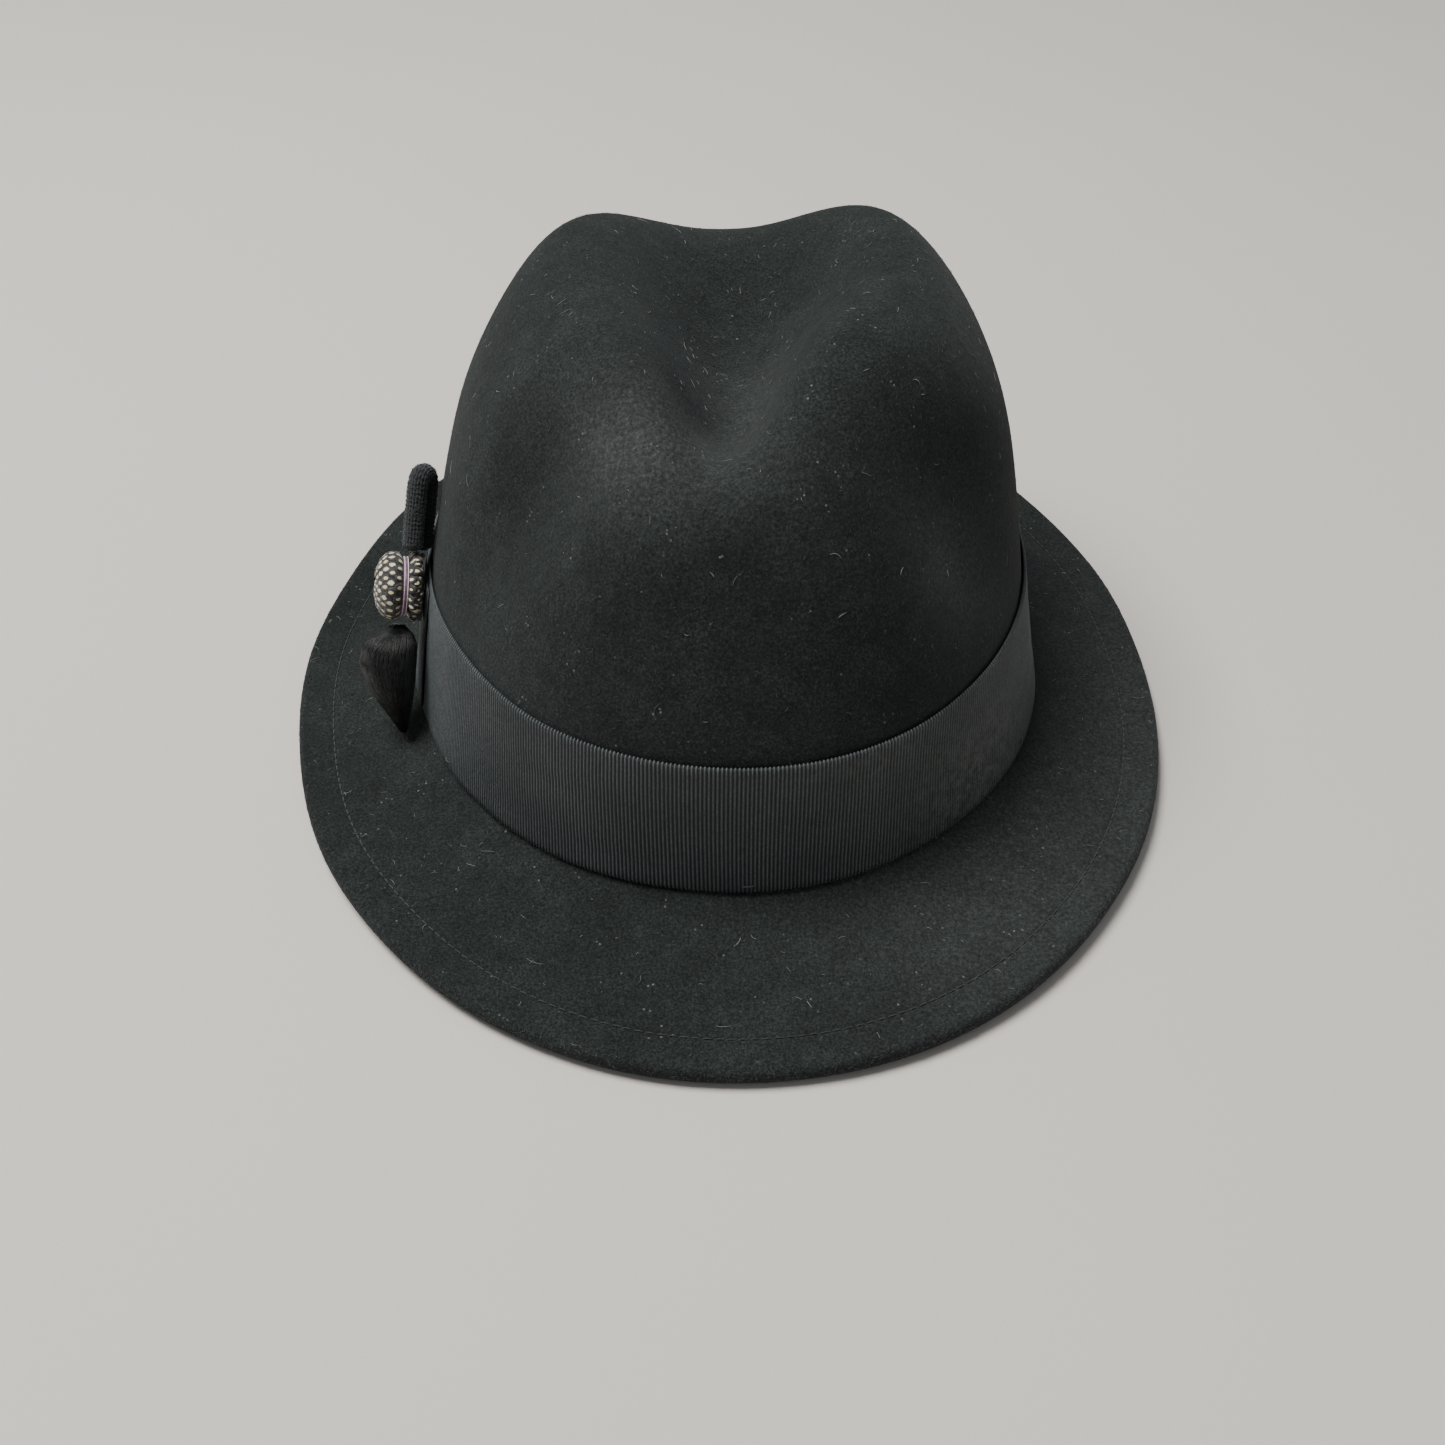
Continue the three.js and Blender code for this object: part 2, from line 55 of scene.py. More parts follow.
def unit(vector):
    vector = np.asarray(vector, float)
    return vector / np.linalg.norm(vector, axis=-1, keepdims=True)


def local_frame(origin, x, y, z):
    """The matrix from millimetres in a local frame to metres in the row frame."""
    matrix = np.eye(4)
    matrix[:3, :3] = np.column_stack([x, y, z]) * MM
    matrix[:3, 3] = origin
    return matrix


opening = next(m for m in frame["record"]["mounts"] if m["name"] == "head_opening")
joints = {joint["name"]: joint for joint in frame["joints"]}

hat_up = -unit(opening["axis"])
hat_right = np.array([1.0, 0.0, 0.0])
HAT = local_frame(opening["pos_m"], hat_right, np.cross(hat_up, hat_right), hat_up)

ornament_out = unit(joints["ornament_turn"]["axis"])
ornament_along = -unit(joints["brush_swing"]["axis"])
ornament_up = np.cross(ornament_out, ornament_along)
ORNAMENT = local_frame(joints["ornament_turn"]["pos_m"], ornament_along, ornament_up, ornament_out)


def placed(points, place):
    return points @ place[:3, :3].T + place[:3, 3]


# ---- Camera ---------------------------------------------------------------

CAMERA_AT = (-19.9, -422.2, 293.8)
CAMERA_AIM = (-1.0, 0.0, -27.0)
CAMERA_ROLL = math.radians(-0.385)
SENSOR = 36.0
FOCAL_LENGTH = 44.84


def make_camera():
    data = bpy.data.cameras.new("camera")
    data.sensor_width = SENSOR
    data.lens = FOCAL_LENGTH
    camera = bpy.data.objects.new("camera", data)
    bpy.context.scene.collection.objects.link(camera)
    at, aim = placed(np.array([CAMERA_AT, CAMERA_AIM]), HAT)
    upright = unit(HAT[:3, 2])
    back = unit(at - aim)
    right = unit(np.cross(upright, back))
    up = np.cross(back, right)
    turned_right = right * math.cos(CAMERA_ROLL) + up * math.sin(CAMERA_ROLL)
    matrix = np.eye(4)
    matrix[:3, :3] = np.column_stack([turned_right, np.cross(back, turned_right), back])
    matrix[:3, 3] = at
    camera.matrix_world = Matrix(matrix.tolist())
    bpy.context.scene.camera = camera


make_camera()


# ---- Meshes ---------------------------------------------------------------


def grid_faces(rows, columns, wrap_rows=False):
    """Quads between neighbouring points of rows by columns; the columns always wrap."""
    row, column = np.meshgrid(np.arange(rows if wrap_rows else rows - 1), np.arange(columns), indexing="ij")
    above = (row + 1) % rows
    beside = (column + 1) % columns
    near, far = row * columns, above * columns
    return np.stack([near + column, near + beside, far + beside, far + column], -1).reshape(-1, 4)


def fan(centre, ring, flipped=False):
    """Triangles from one point to a ring of points."""
    following = np.roll(ring, -1)
    pair = (following, ring) if flipped else (ring, following)
    return np.column_stack([np.full(len(ring), centre), *pair])


def faces_out(points, quads, triangles):
    """The same faces, turned over if they point into the body."""
    split = np.concatenate([quads[:, [0, 1, 2]], quads[:, [0, 2, 3]], triangles]).astype(int)
    a, b, c = (points[split[:, i]] for i in range(3))
    if np.einsum("ij,ij->", a, np.cross(b, c)) < 0:
        return quads[:, ::-1], triangles[:, ::-1]
    return quads, triangles


def add_mesh(name, points, quads, triangles, material, place):
    mesh = bpy.data.meshes.new(name)
    mesh.vertices.add(len(points))
    mesh.vertices.foreach_set("co", placed(points, place).astype(np.float32).ravel())
    corners = np.concatenate([quads.ravel(), triangles.ravel()]).astype(np.int32)
    quad_starts = np.arange(len(quads)) * 4
    triangle_starts = len(quads) * 4 + np.arange(len(triangles)) * 3
    mesh.loops.add(len(corners))
    mesh.loops.foreach_set("vertex_index", corners)
    mesh.polygons.add(len(quads) + len(triangles))
    mesh.polygons.foreach_set("loop_start", np.concatenate([quad_starts, triangle_starts]).astype(np.int32))
    mesh.polygons.foreach_set("use_smooth", np.ones(len(mesh.polygons), bool))
    mesh.update(calc_edges=True)
    mesh.materials.append(material)
    piece = bpy.data.objects.new(name, mesh)
    bpy.context.scene.collection.objects.link(piece)
    return piece


NO_TRIANGLES = np.zeros((0, 3), int)


def ring_body(name, rings, material, place):
    """A body that goes round the hat: rings of points, the last joined to the first."""
    rows, columns, _ = rings.shape
    points = rings.reshape(-1, 3)
    quads, triangles = faces_out(points, grid_faces(rows, columns, wrap_rows=True), NO_TRIANGLES)
    return add_mesh(name, points, quads, triangles, material, place)


def capped_faces(rows, columns):
    """Faces of a loft whose two end points follow its rows of points."""
    count = rows * columns
    ring = np.arange(columns)
    caps = [fan(count, ring, flipped=True), fan(count + 1, ring + count - columns)]
    return grid_faces(rows, columns), np.concatenate(caps)


def capped_body(name, sections, material, place, ends=None):
    """A body lofted through sections, closed at both ends."""
    rows, columns, _ = sections.shape
    first, last = ends or (sections[0].mean(0), sections[-1].mean(0))
    points = np.concatenate([sections.reshape(-1, 3), [first, last]])
    quads, triangles = faces_out(points, *capped_faces(rows, columns))
    return add_mesh(name, points, quads, triangles, material, place)


def tubes(paths, radii, sides, upright):
    """Round bodies along paths (count, steps, 3). radii is (count, steps) and upright a
    direction that no path follows. Returns one body's points per path."""
    paths = np.asarray(paths, float)
    tangent = unit(np.gradient(paths, axis=1))
    across = unit(np.cross(tangent, upright))
    rise = np.cross(across, tangent)
    angle = np.arange(sides) * TURN / sides
    spokes = across[:, :, None] * np.cos(angle)[:, None] + rise[:, :, None] * np.sin(angle)[:, None]
    rings = paths[:, :, None] + spokes * np.asarray(radii)[:, :, None, None]
    count, steps = paths.shape[:2]
    tips = np.stack([paths[:, 0], paths[:, -1]], 1)
    return np.concatenate([rings.reshape(count, steps * sides, 3), tips], 1)


def many_bodies(name, bodies, steps, sides, material, place):
    """One object of equal lofted bodies, as tubes() or leaves() give them."""
    count, size, _ = bodies.shape
    quads, triangles = faces_out(bodies[0] - bodies[0].mean(0), *capped_faces(steps, sides))
    shift = (np.arange(count) * size)[:, None, None]
    all_quads = (quads[None] + shift).reshape(-1, 4)
    all_triangles = (triangles[None] + shift).reshape(-1, 3)
    return add_mesh(name, bodies.reshape(-1, 3), all_quads, all_triangles, material, place)


def point_values(piece, name, values):
    """Stores one number, or one vector, per point for the piece's material."""
    values = np.asarray(values, np.float32)
    kind, slot = ("FLOAT", "value") if values.ndim == 1 else ("FLOAT_VECTOR", "vector")
    piece.data.attributes.new(name, kind, "POINT").data.foreach_set(slot, values.ravel())


def finish_piece(piece, body, slot, *nodes):
    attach(piece, body)
    if nodes:
        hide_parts(*nodes)


# ---- Materials ------------------------------------------------------------


class Look:
    """A Principled material and the few nodes that vary it over the surface."""

    def __init__(self, name, **values):
        self.material = bpy.data.materials.new(name)
        self.material.use_nodes = True
        self.tree = self.material.node_tree
        self.shader = self.tree.nodes["Principled BSDF"]
        for socket, value in values.items():
            self.shader.inputs[socket.replace("_", " ")].default_value = value
        self.place = self.node("ShaderNodeTexCoord").outputs["Object"]

    def node(self, kind, settings=(), **inputs):
        made = self.tree.nodes.new(kind)
        for name, value in dict(settings).items():
            setattr(made, name, value)
        for name, value in inputs.items():
            self.feed(made.inputs[name.replace("_", " ")], value)
        return made

    def feed(self, socket, value):
        if isinstance(value, bpy.types.NodeSocket):
            self.tree.links.new(value, socket)
        else:
            socket.default_value = value

    def values(self, name, output="Fac"):
        return self.node("ShaderNodeAttribute", {"attribute_name": name}).outputs[output]

    def stretched(self, scale):
        return self.node("ShaderNodeMapping", Vector=self.place, Scale=scale).outputs["Vector"]

    def noise(self, scale, detail=3.0, roughness=0.55, where=None):
        return self.node(
            "ShaderNodeTexNoise", Vector=where or self.place, Scale=scale, Detail=detail, Roughness=roughness
        ).outputs["Fac"]

    def cells(self, scale, where=None):
        return self.node("ShaderNodeTexVoronoi", Vector=where or self.place, Scale=scale).outputs["Distance"]

    def ramp(self, factor, *stops):
        """A colour ramp; each stop is (place, colour or grey level)."""
        made = self.node("ShaderNodeValToRGB", Fac=factor)
        band = made.color_ramp.elements
        while len(band) < len(stops):
            band.new(0.5)
        for element, (place, colour) in zip(band, stops):
            element.position = place
            element.color = (*colour, 1) if isinstance(colour, tuple) else (colour, colour, colour, 1)
        return made.outputs["Color"]

    def mixed(self, factor, low, high, blend="MIX"):
        made = self.tree.nodes.new("ShaderNodeMix")
        made.data_type = "RGBA"
        made.blend_type = blend
        for index, value in zip((0, 6, 7), (factor, low, high)):
            if isinstance(value, bpy.types.NodeSocket):
                self.tree.links.new(value, made.inputs[index])
            else:
                made.inputs[index].default_value = (*value, 1) if isinstance(value, tuple) else value
        return made.outputs[2]

    def math(self, operation, first, second):
        made = self.tree.nodes.new("ShaderNodeMath")
        made.operation = operation
        self.feed(made.inputs[0], first)
        self.feed(made.inputs[1], second)
        return made.outputs[0]

    def colour(self, socket):
        self.feed(self.shader.inputs["Base Color"], socket)

    def roughness(self, socket):
        self.feed(self.shader.inputs["Roughness"], socket)

    def bump(self, *heights):
        """Bumps chained one on another; each is (height, distance in metres)."""
        normal = None
        for height, distance in heights:
            made = self.node("ShaderNodeBump", Height=height, Distance=distance)
            if normal is not None:
                self.feed(made.inputs["Normal"], normal)
            normal = made.outputs["Normal"]
        self.feed(self.shader.inputs["Normal"], normal)


def felt_look():
    look = Look(
        "felt", Roughness=0.95, Specular_IOR_Level=0.10,
        Sheen_Weight=0.05, Sheen_Roughness=0.5, Sheen_Tint=(0.62, 0.70, 0.70, 1),
    )
    clouds = look.ramp(look.noise(24, 5), (0.3, (0.0074, 0.0096, 0.0092)), (0.7, (0.0132, 0.0162, 0.0158)))
    mottle = look.ramp(look.noise(120, 5, 0.65), (0.3, 0.74), (0.7, 1.30))
    nap = look.ramp(look.noise(1700, 4, 0.72), (0.34, 0.30), (0.50, 0.95), (0.70, 2.5))
    body = look.mixed(1.0, look.mixed(1.0, clouds, mottle, "MULTIPLY"), nap, "MULTIPLY")
    film = look.ramp(look.noise(950, 6, 0.8), (0.36, 0.10), (0.52, 0.32), (0.72, 1.0))
    # The dust attribute lightens the felt: real dust on the brim, dust and a painted highlight on the crease lip,
    # and a painted highlight on the right hollow's lower wall.
    dust_and_highlight = look.math("MULTIPLY", look.values("dust_and_highlight"), film)
    dusty_and_highlighted = look.mixed(dust_and_highlight, body, (0.088, 0.094, 0.092))
    specks = look.ramp(look.cells(560), (0.11, 1.0), (0.19, 0.0))
    few = look.math("MULTIPLY", specks, look.ramp(look.noise(160, 3, 0.6), (0.56, 0.0), (0.66, 0.6)))
    look.colour(look.mixed(few, dusty_and_highlighted, (0.17, 0.175, 0.17)))
    fibres = look.noise(900, 6, 0.75, look.stretched((1.0, 0.35, 1.0)))
    look.bump((look.noise(340, 4, 0.6), 0.00030), (fibres, 0.00026))
    return look.material


def grosgrain_look():
    look = Look(
        "grosgrain", Roughness=0.62, Specular_IOR_Level=0.35,
        Sheen_Weight=0.08, Sheen_Roughness=0.35, Sheen_Tint=(0.70, 0.76, 0.82, 1),
    )
    base = look.ramp(look.noise(60, 4), (0.3, (0.031, 0.037, 0.039)), (0.7, (0.042, 0.049, 0.051)))
    thread = look.ramp(look.noise(2600, 3, 0.6, look.stretched((1.0, 1.0, 0.5))), (0.3, 0.6), (0.7, 1.45))
    # Painted shade darkens the rib valleys and the ribbon's back face, and painted highlight lightens the rib
    # crests, by each point's height on its rib.
    painted_rib_shading = look.ramp(look.values("rib"), (0.0, 0.03), (0.45, 0.5), (1.0, 1.9))
    woven_with_rib_shading = look.mixed(1.0, look.mixed(1.0, base, thread, "MULTIPLY"), painted_rib_shading, "MULTIPLY")
    film = look.ramp(look.noise(420, 6, 0.75), (0.42, 0.0), (0.72, 1.0))
    dust_and_highlight = look.math("MULTIPLY", look.values("dust_and_highlight"), film)
    look.colour(look.mixed(dust_and_highlight, woven_with_rib_shading, (0.11, 0.112, 0.11)))
    look.bump((look.noise(3000, 2, 0.6, look.stretched((1.0, 1.0, 0.6))), 0.0001))
    return look.material


def thread_look(name="thread", dark=(0.012, 0.014, 0.014), light=(0.036, 0.040, 0.040)):
    look = Look(name, Roughness=0.7, Specular_IOR_Level=0.3, Sheen_Weight=0.2)
    look.colour(look.ramp(look.noise(1700, 3), (0.3, dark), (0.75, light)))
    look.bump((look.noise(4200, 2), 0.00008))
    return look.material


def leather_look():
    look = Look("leather", Specular_IOR_Level=0.45, Coat_Weight=0.05, Coat_Roughness=0.4)
    tone = look.ramp(look.noise(45, 6, 0.6), (0.3, (0.048, 0.024, 0.013)), (0.7, (0.105, 0.056, 0.031)))
    pores = look.ramp(look.cells(1500), (0.05, 0.55), (0.35, 1.0))
    look.colour(look.mixed(1.0, tone, pores, "MULTIPLY"))
    look.roughness(look.ramp(look.noise(120, 4), (0.3, 0.42), (0.7, 0.62)))
    look.bump((look.cells(1100), 0.00018), (look.noise(380, 5), 0.00012))
    return look.material


def tape_look():
    look = Look("tape", Roughness=0.68, Specular_IOR_Level=0.3, Sheen_Weight=0.2)
    weave = look.noise(1800, 2, 0.5, look.stretched((1.0, 1.0, 3.0)))
    look.colour(look.ramp(weave, (0.3, (0.007, 0.007, 0.008)), (0.7, (0.022, 0.022, 0.024))))
    look.bump((weave, 0.00012))
    return look.material


def satin_look():
    look = Look(
        "satin", Specular_IOR_Level=0.55, Anisotropic=0.4,
        Sheen_Weight=0.25, Sheen_Tint=(0.6, 0.6, 0.68, 1),
    )
    tone = look.ramp(look.noise(30, 4), (0.3, (0.017, 0.016, 0.019)), (0.7, (0.036, 0.034, 0.040)))
    yarn = look.noise(2400, 2, 0.5, look.stretched((1.0, 1.0, 0.15)))
    look.colour(look.mixed(1.0, tone, look.ramp(yarn, (0.3, 0.7), (0.7, 1.3)), "MULTIPLY"))
    look.roughness(look.ramp(look.noise(200, 4), (0.3, 0.30), (0.7, 0.46)))
    look.bump((yarn, 0.00006), (look.noise(70, 3), 0.0005))
    return look.material


def cord_look():
    look = Look(
        "cord", Roughness=0.88, Specular_IOR_Level=0.2,
        Sheen_Weight=0.35, Sheen_Tint=(0.6, 0.65, 0.68, 1),
    )
    yarn = look.ramp(look.noise(1500, 4, 0.7), (0.3, (0.008, 0.009, 0.010)), (0.75, (0.034, 0.036, 0.038)))
    # Painted shade in the knit's hollows and painted highlight on its raised yarn, by each point's relief.
    depth = look.ramp(look.values("relief"), (0.05, 0.25), (0.8, 1.25))
    look.colour(look.mixed(1.0, yarn, depth, "MULTIPLY"))
    look.bump((look.noise(2200, 4, 0.7), 0.0002))
    return look.material


def feather_look():
    """Black feathers with a cream spot. leaf holds each point's place on its own feather:
    across and along from the spot's middle, in the spot's own half widths, and its strength."""
    look = Look("feather", Roughness=0.55, Specular_IOR_Level=0.35, Sheen_Weight=0.2)
    leaf = look.values("leaf", "Vector")
    parts = look.node("ShaderNodeSeparateXYZ", Vector=leaf).outputs
    reach = look.math("SQRT", look.math(
        "ADD", look.math("MULTIPLY", parts["X"], parts["X"]), look.math("MULTIPLY", parts["Y"], parts["Y"])
    ), 0.0)
    ragged = look.math("ADD", reach, look.ramp(look.noise(1900, 4, 0.7), (0.3, 0.0), (0.7, 0.45)))
    spot = look.math("MULTIPLY", look.ramp(ragged, (0.85, 1.0), (1.25, 0.0)), parts["Z"])
    cream = look.ramp(look.noise(420, 3), (0.35, (0.80, 0.76, 0.60)), (0.65, (0.62, 0.50, 0.25)))
    barbs = look.ramp(look.noise(2400, 3), (0.3, (0.006, 0.006, 0.007)), (0.7, (0.030, 0.030, 0.030)))
    look.colour(look.mixed(spot, barbs, cream))
    look.bump((look.noise(3600, 3, 0.6), 0.00012))
    return look.material


def mauve_look():
    look = Look(
        "mauve_ribbon", Roughness=0.45, Specular_IOR_Level=0.5,
        Sheen_Weight=0.3, Sheen_Tint=(0.9, 0.7, 0.85, 1),
    )
    look.colour(look.ramp(look.noise(700, 3), (0.3, (0.085, 0.035, 0.075)), (0.7, (0.19, 0.095, 0.155))))
    look.bump((look.noise(3200, 2), 0.0001))
    return look.material


def pale_thread_look():
    return thread_look("pale_thread", (0.42, 0.36, 0.40), (0.72, 0.68, 0.66))


def hair_look():
    look = Look("hair", Specular_IOR_Level=0.45)
    look.colour(look.ramp(look.noise(700, 3), (0.3, (0.0022, 0.0024, 0.0026)), (0.8, (0.020, 0.022, 0.022))))
    look.roughness(look.ramp(look.noise(500, 2), (0.3, 0.38), (0.7, 0.60)))
    look.bump((look.noise(2600, 2), 0.00008))
    return look.material


def lint_look():
    look = Look("lint", Roughness=0.8, Specular_IOR_Level=0.2)
    look.colour(look.ramp(look.noise(60, 2), (0.35, (0.085, 0.090, 0.088)), (0.65, (0.30, 0.30, 0.28))))
    look.bump((look.noise(3000, 2), 0.00005))
    return look.material


def steel_look():
    look = Look("steel", Metallic=1.0)
    look.colour(look.ramp(look.noise(900, 3), (0.3, (0.42, 0.42, 0.41)), (0.7, (0.62, 0.62, 0.60))))
    look.roughness(look.ramp(look.noise(1400, 3), (0.3, 0.25), (0.7, 0.42)))
    look.bump((look.noise(2500, 2), 0.00003))
    return look.material


def floor_look():
    look = Look("floor", Roughness=0.8, Specular_IOR_Level=0.2)
    look.colour(look.ramp(look.noise(3.0, 3), (0.3, (0.536, 0.508, 0.474)), (0.7, (0.550, 0.522, 0.488))))
    look.bump((look.noise(400, 3), 0.00005))
    return look.material


felt = felt_look()
grosgrain = grosgrain_look()
thread = thread_look()
leather = leather_look()
tape = tape_look()
satin = satin_look()
cord = cord_look()
feather = feather_look()
mauve = mauve_look()
pale_thread = pale_thread_look()
hair = hair_look()
lint = lint_look()
steel = steel_look()


# ---- The crown's surface --------------------------------------------------

HEAD_HALF_WIDTH = 85.6
HEAD_HALF_LENGTH = 103.6
CROWN_HEIGHT = 132.0
FELT_THICKNESS = 2.2
FIT = 0.3

SIDE_POWER, FRONT_POWER, BACK_POWER = 4.7, 3.1, 3.4
SIDE_LEAN, FRONT_LEAN, BACK_LEAN = 0.265, 0.215, 0.125
FRONT_LEAN_START = 0.3
TOP_SHIFT = 4.9
SADDLE_SHARE, SADDLE_MIDDLE, SADDLE_REACH = 0.095, -8.0, 50.0

CREASE_DEPTH, CREASE_FRONT, CREASE_BACK = 31.0, -80.0, 92.0
CREASE_FRONT_WIDTH, CREASE_BACK_WIDTH = 13.0, 32.5
CREASE_FRONT_OFFSET, CREASE_BACK_OFFSET = -4.0, 4.0
CREASE_BACK_DEPTH = 0.54

# side, centre, direction, length, width, depth
PINCHES = (
    (-1, (-46, -54, 80), (-0.48, 0.20, -0.85), 33, 17, 9.5),
    (1, (42, -57, 75), (0.38, 0.10, -0.92), 28, 18, 11),
)
PINCH_FADE = (34, 60)


def smooth(low, high, value):
    share = np.clip((value - low) / (high - low), 0, 1)
    return share * share * (3 - 2 * share)


def crown_shares(turn):
    front = np.clip(-np.sin(turn), 0, 1) ** 2
    back = np.clip(np.sin(turn), 0, 1) ** 2
    side = 1 - front - back
    return front, back, side, side * SIDE_POWER + front * FRONT_POWER + back * BACK_POWER


def crease_depth(x, y):
    along = (y - CREASE_FRONT) / (CREASE_BACK - CREASE_FRONT)
    width = CREASE_FRONT_WIDTH + (CREASE_BACK_WIDTH - CREASE_FRONT_WIDTH) * smooth(0, 1, along * 1.15)
    shallowing = 1 - (1 - CREASE_BACK_DEPTH) * smooth(0.5, 0.95, along)
    middle = CREASE_FRONT_OFFSET + (CREASE_BACK_OFFSET - CREASE_FRONT_OFFSET) * smooth(0, 0.55, along)
    across = np.exp(-np.abs((x - middle) / width) ** 2.2)
    return CREASE_DEPTH * smooth(-0.05, 0.25, along) * shallowing * across


def crown(turn, climb):
    """A point of the crown's outer face, for arrays of turns and climbs."""
    turn, climb = np.broadcast_arrays(turn, climb)
    front, back, side, power = crown_shares(turn)
    cos, sin = np.clip(np.cos(climb), 0, 1), np.clip(np.sin(climb), 0, 1)
    radius = (cos ** power + sin ** power) ** (-1 / power)
    height = radius * sin
    front_share = np.clip(height - FRONT_LEAN_START, 0, 1) / (1 - FRONT_LEAN_START)
    lean = height * (side * SIDE_LEAN + back * BACK_LEAN) + front * FRONT_LEAN * front_share ** 1.2
    reach = radius * cos * (1 - lean)
    x = HEAD_HALF_WIDTH * reach * np.cos(turn) + TOP_SHIFT * height ** 2
    y = HEAD_HALF_LENGTH * reach * np.sin(turn)
    z = CROWN_HEIGHT * height
    saddle = SADDLE_SHARE * np.exp(-((y - SADDLE_MIDDLE) / SADDLE_REACH) ** 2)
    z = z * (1 - saddle * smooth(0.5, 0.9, height))
    z = z - crease_depth(x, y) * smooth(0.45, 0.8, height)
    point = np.stack([x, y, z], -1)
    for sign, centre, direction, length, width, depth in PINCHES:
        away = point - centre
        along = away @ unit(direction)
        across = (away ** 2).sum(-1) - along ** 2
        fade = smooth(*PINCH_FADE, point[..., 2])
        push = depth * np.exp(-(along / length) ** 2 - across / width ** 2) * fade
        point = point + push[..., None] * np.array([-0.8 * sign, 0.55, -0.08])
    return point


def crown_normal(turn, climb):
    step = 0.01
    high = np.minimum(climb + step, TURN / 4 - step)
    low = np.maximum(climb - step, 0)
    rise = crown(turn, high) - crown(turn, low)
    around = crown(turn + step, climb) - crown(turn - step, climb)
    return unit(np.cross(around, rise))


def crown_layer(turn, climb, offset):
    turn, climb = np.broadcast_arrays(turn, climb)
    return crown(turn, climb) + crown_normal(turn, climb) * np.asarray(offset)[..., None]


def climb_at_height(turn, z):
    power = crown_shares(turn)[3]
    height = z / CROWN_HEIGHT
    return np.arctan2(height, (1 - height ** power) ** (1 / power))


def wall(turn, z, offset):
    """A point at an exact height of the crown's upright part, offset from the felt."""
    turn, z, offset = np.broadcast_arrays(turn, z, offset)
    climb = climb_at_height(turn, np.maximum(z, 0))
    normal = crown_normal(turn, climb)
    level = normal * (1, 1, 0)
    point = crown(turn, climb) + level * (offset / (level ** 2).sum(-1))[..., None]
    point[..., 2] = z
    return point


# ---- The brim's surface ---------------------------------------------------

BRIM_WIDTH, BRIM_BACK_LOSS, BRIM_FRONT_GAIN = 39.1, 1.67, 4.55
BRIM_EDGE, BRIM_BACK_RISE, BRIM_SIDE_RISE, BRIM_ROLL = -3.59, 9.36, 0.99, 1.38
BRIM_DISH = 2.3
WELT_WIDTH = 9.5
WELT_THICKNESS = 4.2


def brim_width(turn):
    return BRIM_WIDTH - BRIM_BACK_LOSS * np.sin(turn) - BRIM_FRONT_GAIN * np.cos(2 * turn)


def brim(turn, reach, drop=0.0):
    """reach is 0 at the brim break and 1 at the edge."""
    turn, reach, drop = np.broadcast_arrays(turn, reach, drop)
    across = np.stack([np.cos(turn) / HEAD_HALF_WIDTH, np.sin(turn) / HEAD_HALF_LENGTH], -1)
    across = unit(across) * (brim_width(turn) * reach)[..., None]
    edge = (BRIM_EDGE + BRIM_BACK_RISE * np.sin(turn)
            - BRIM_SIDE_RISE * np.cos(2 * turn) - BRIM_ROLL * np.sin(3 * turn))
    return np.stack([
        HEAD_HALF_WIDTH * np.cos(turn) + across[..., 0],
        HEAD_HALF_LENGTH * np.sin(turn) + across[..., 1],
        edge * reach - BRIM_DISH * np.sin(np.pi * reach) - drop,
    ], -1)


def brim_from_edge(turn, distance, drop=0.0):
    return brim(turn, 1 - distance / brim_width(turn), drop)


# ---- Unevenness -----------------------------------------------------------


def waves(points, length, seed, count=9):
    """A smooth random field of about -1 to 1 with waves of roughly this length."""
    draw = np.random.default_rng(seed)
    directions = unit(draw.normal(size=(count, 3))) * draw.uniform(0.7, 1.4, (count, 1)) * TURN / length
    phases = draw.uniform(0, TURN, count)
    return np.sin(points @ directions.T + phases).sum(-1) / math.sqrt(count)


def worn(points):
    """Moves hand-shaped pieces together by up to about half a millimetre, but leaves the
    brim's height alone, which stands on the floor."""
    shift = np.stack([waves(points, 62, seed) for seed in (11, 12, 13)], -1)
    shift[..., 2] *= smooth(-1, 30, points[..., 2])
    return points + 0.3 * shift


def turns(count, start=0.0, sweep=TURN):
    return start + np.arange(count) / count * sweep


def dust_and_highlight_share(points, base, patches):
    """Dust, and on the felt a painted highlight, from 0 to 1: an even base, and soft patches of (strength, centre,
    reach).
    """
    total = base
    for strength, centre, reach in patches:
        total = total + strength * np.exp(-(((points - centre) / reach) ** 2).sum(-1))
    return np.clip(total, 0, 1)


# ---- Felt body ------------------------------------------------------------

FELT_AROUND = 360
CROWN_RINGS = 96
BREAK_HEIGHT = 0.9
SEAM_DISTANCE = WELT_WIDTH
SEAM_DIP, SEAM_SPREAD = 0.32, 0.75
EDGE_RADIUS = 1.7
# The front right of the brim and its right side carry dust; the lip of the crease carries dust and a painted
# highlight; the lower wall of the right hollow carries a painted highlight.
FELT_DUST_AND_HIGHLIGHT = (
    (0.5, (62, -95, 0), (48, 45, 30)),
    (0.5, (108, -20, 0), (26, 60, 26)),
    (0.8, (-22, -62, 100), (22, 22, 14)),
    (0.6, (12, -40, 92), (16, 30, 12)),
    (0.6, (44, -62, 64), (20, 16, 16)),
)


def crown_climbs(count):
    """Climbs from just below the middle of the top down to the brim break, evenly spread."""
    fine = np.linspace(0.004, TURN / 4 - 0.012, 2000)
    line = crown(np.full_like(fine, 0.3), fine)
    run = np.concatenate([[0], np.cumsum(np.linalg.norm(np.diff(line, axis=0), axis=1))])
    return np.interp(np.linspace(run[-1], 0, count), run, fine)


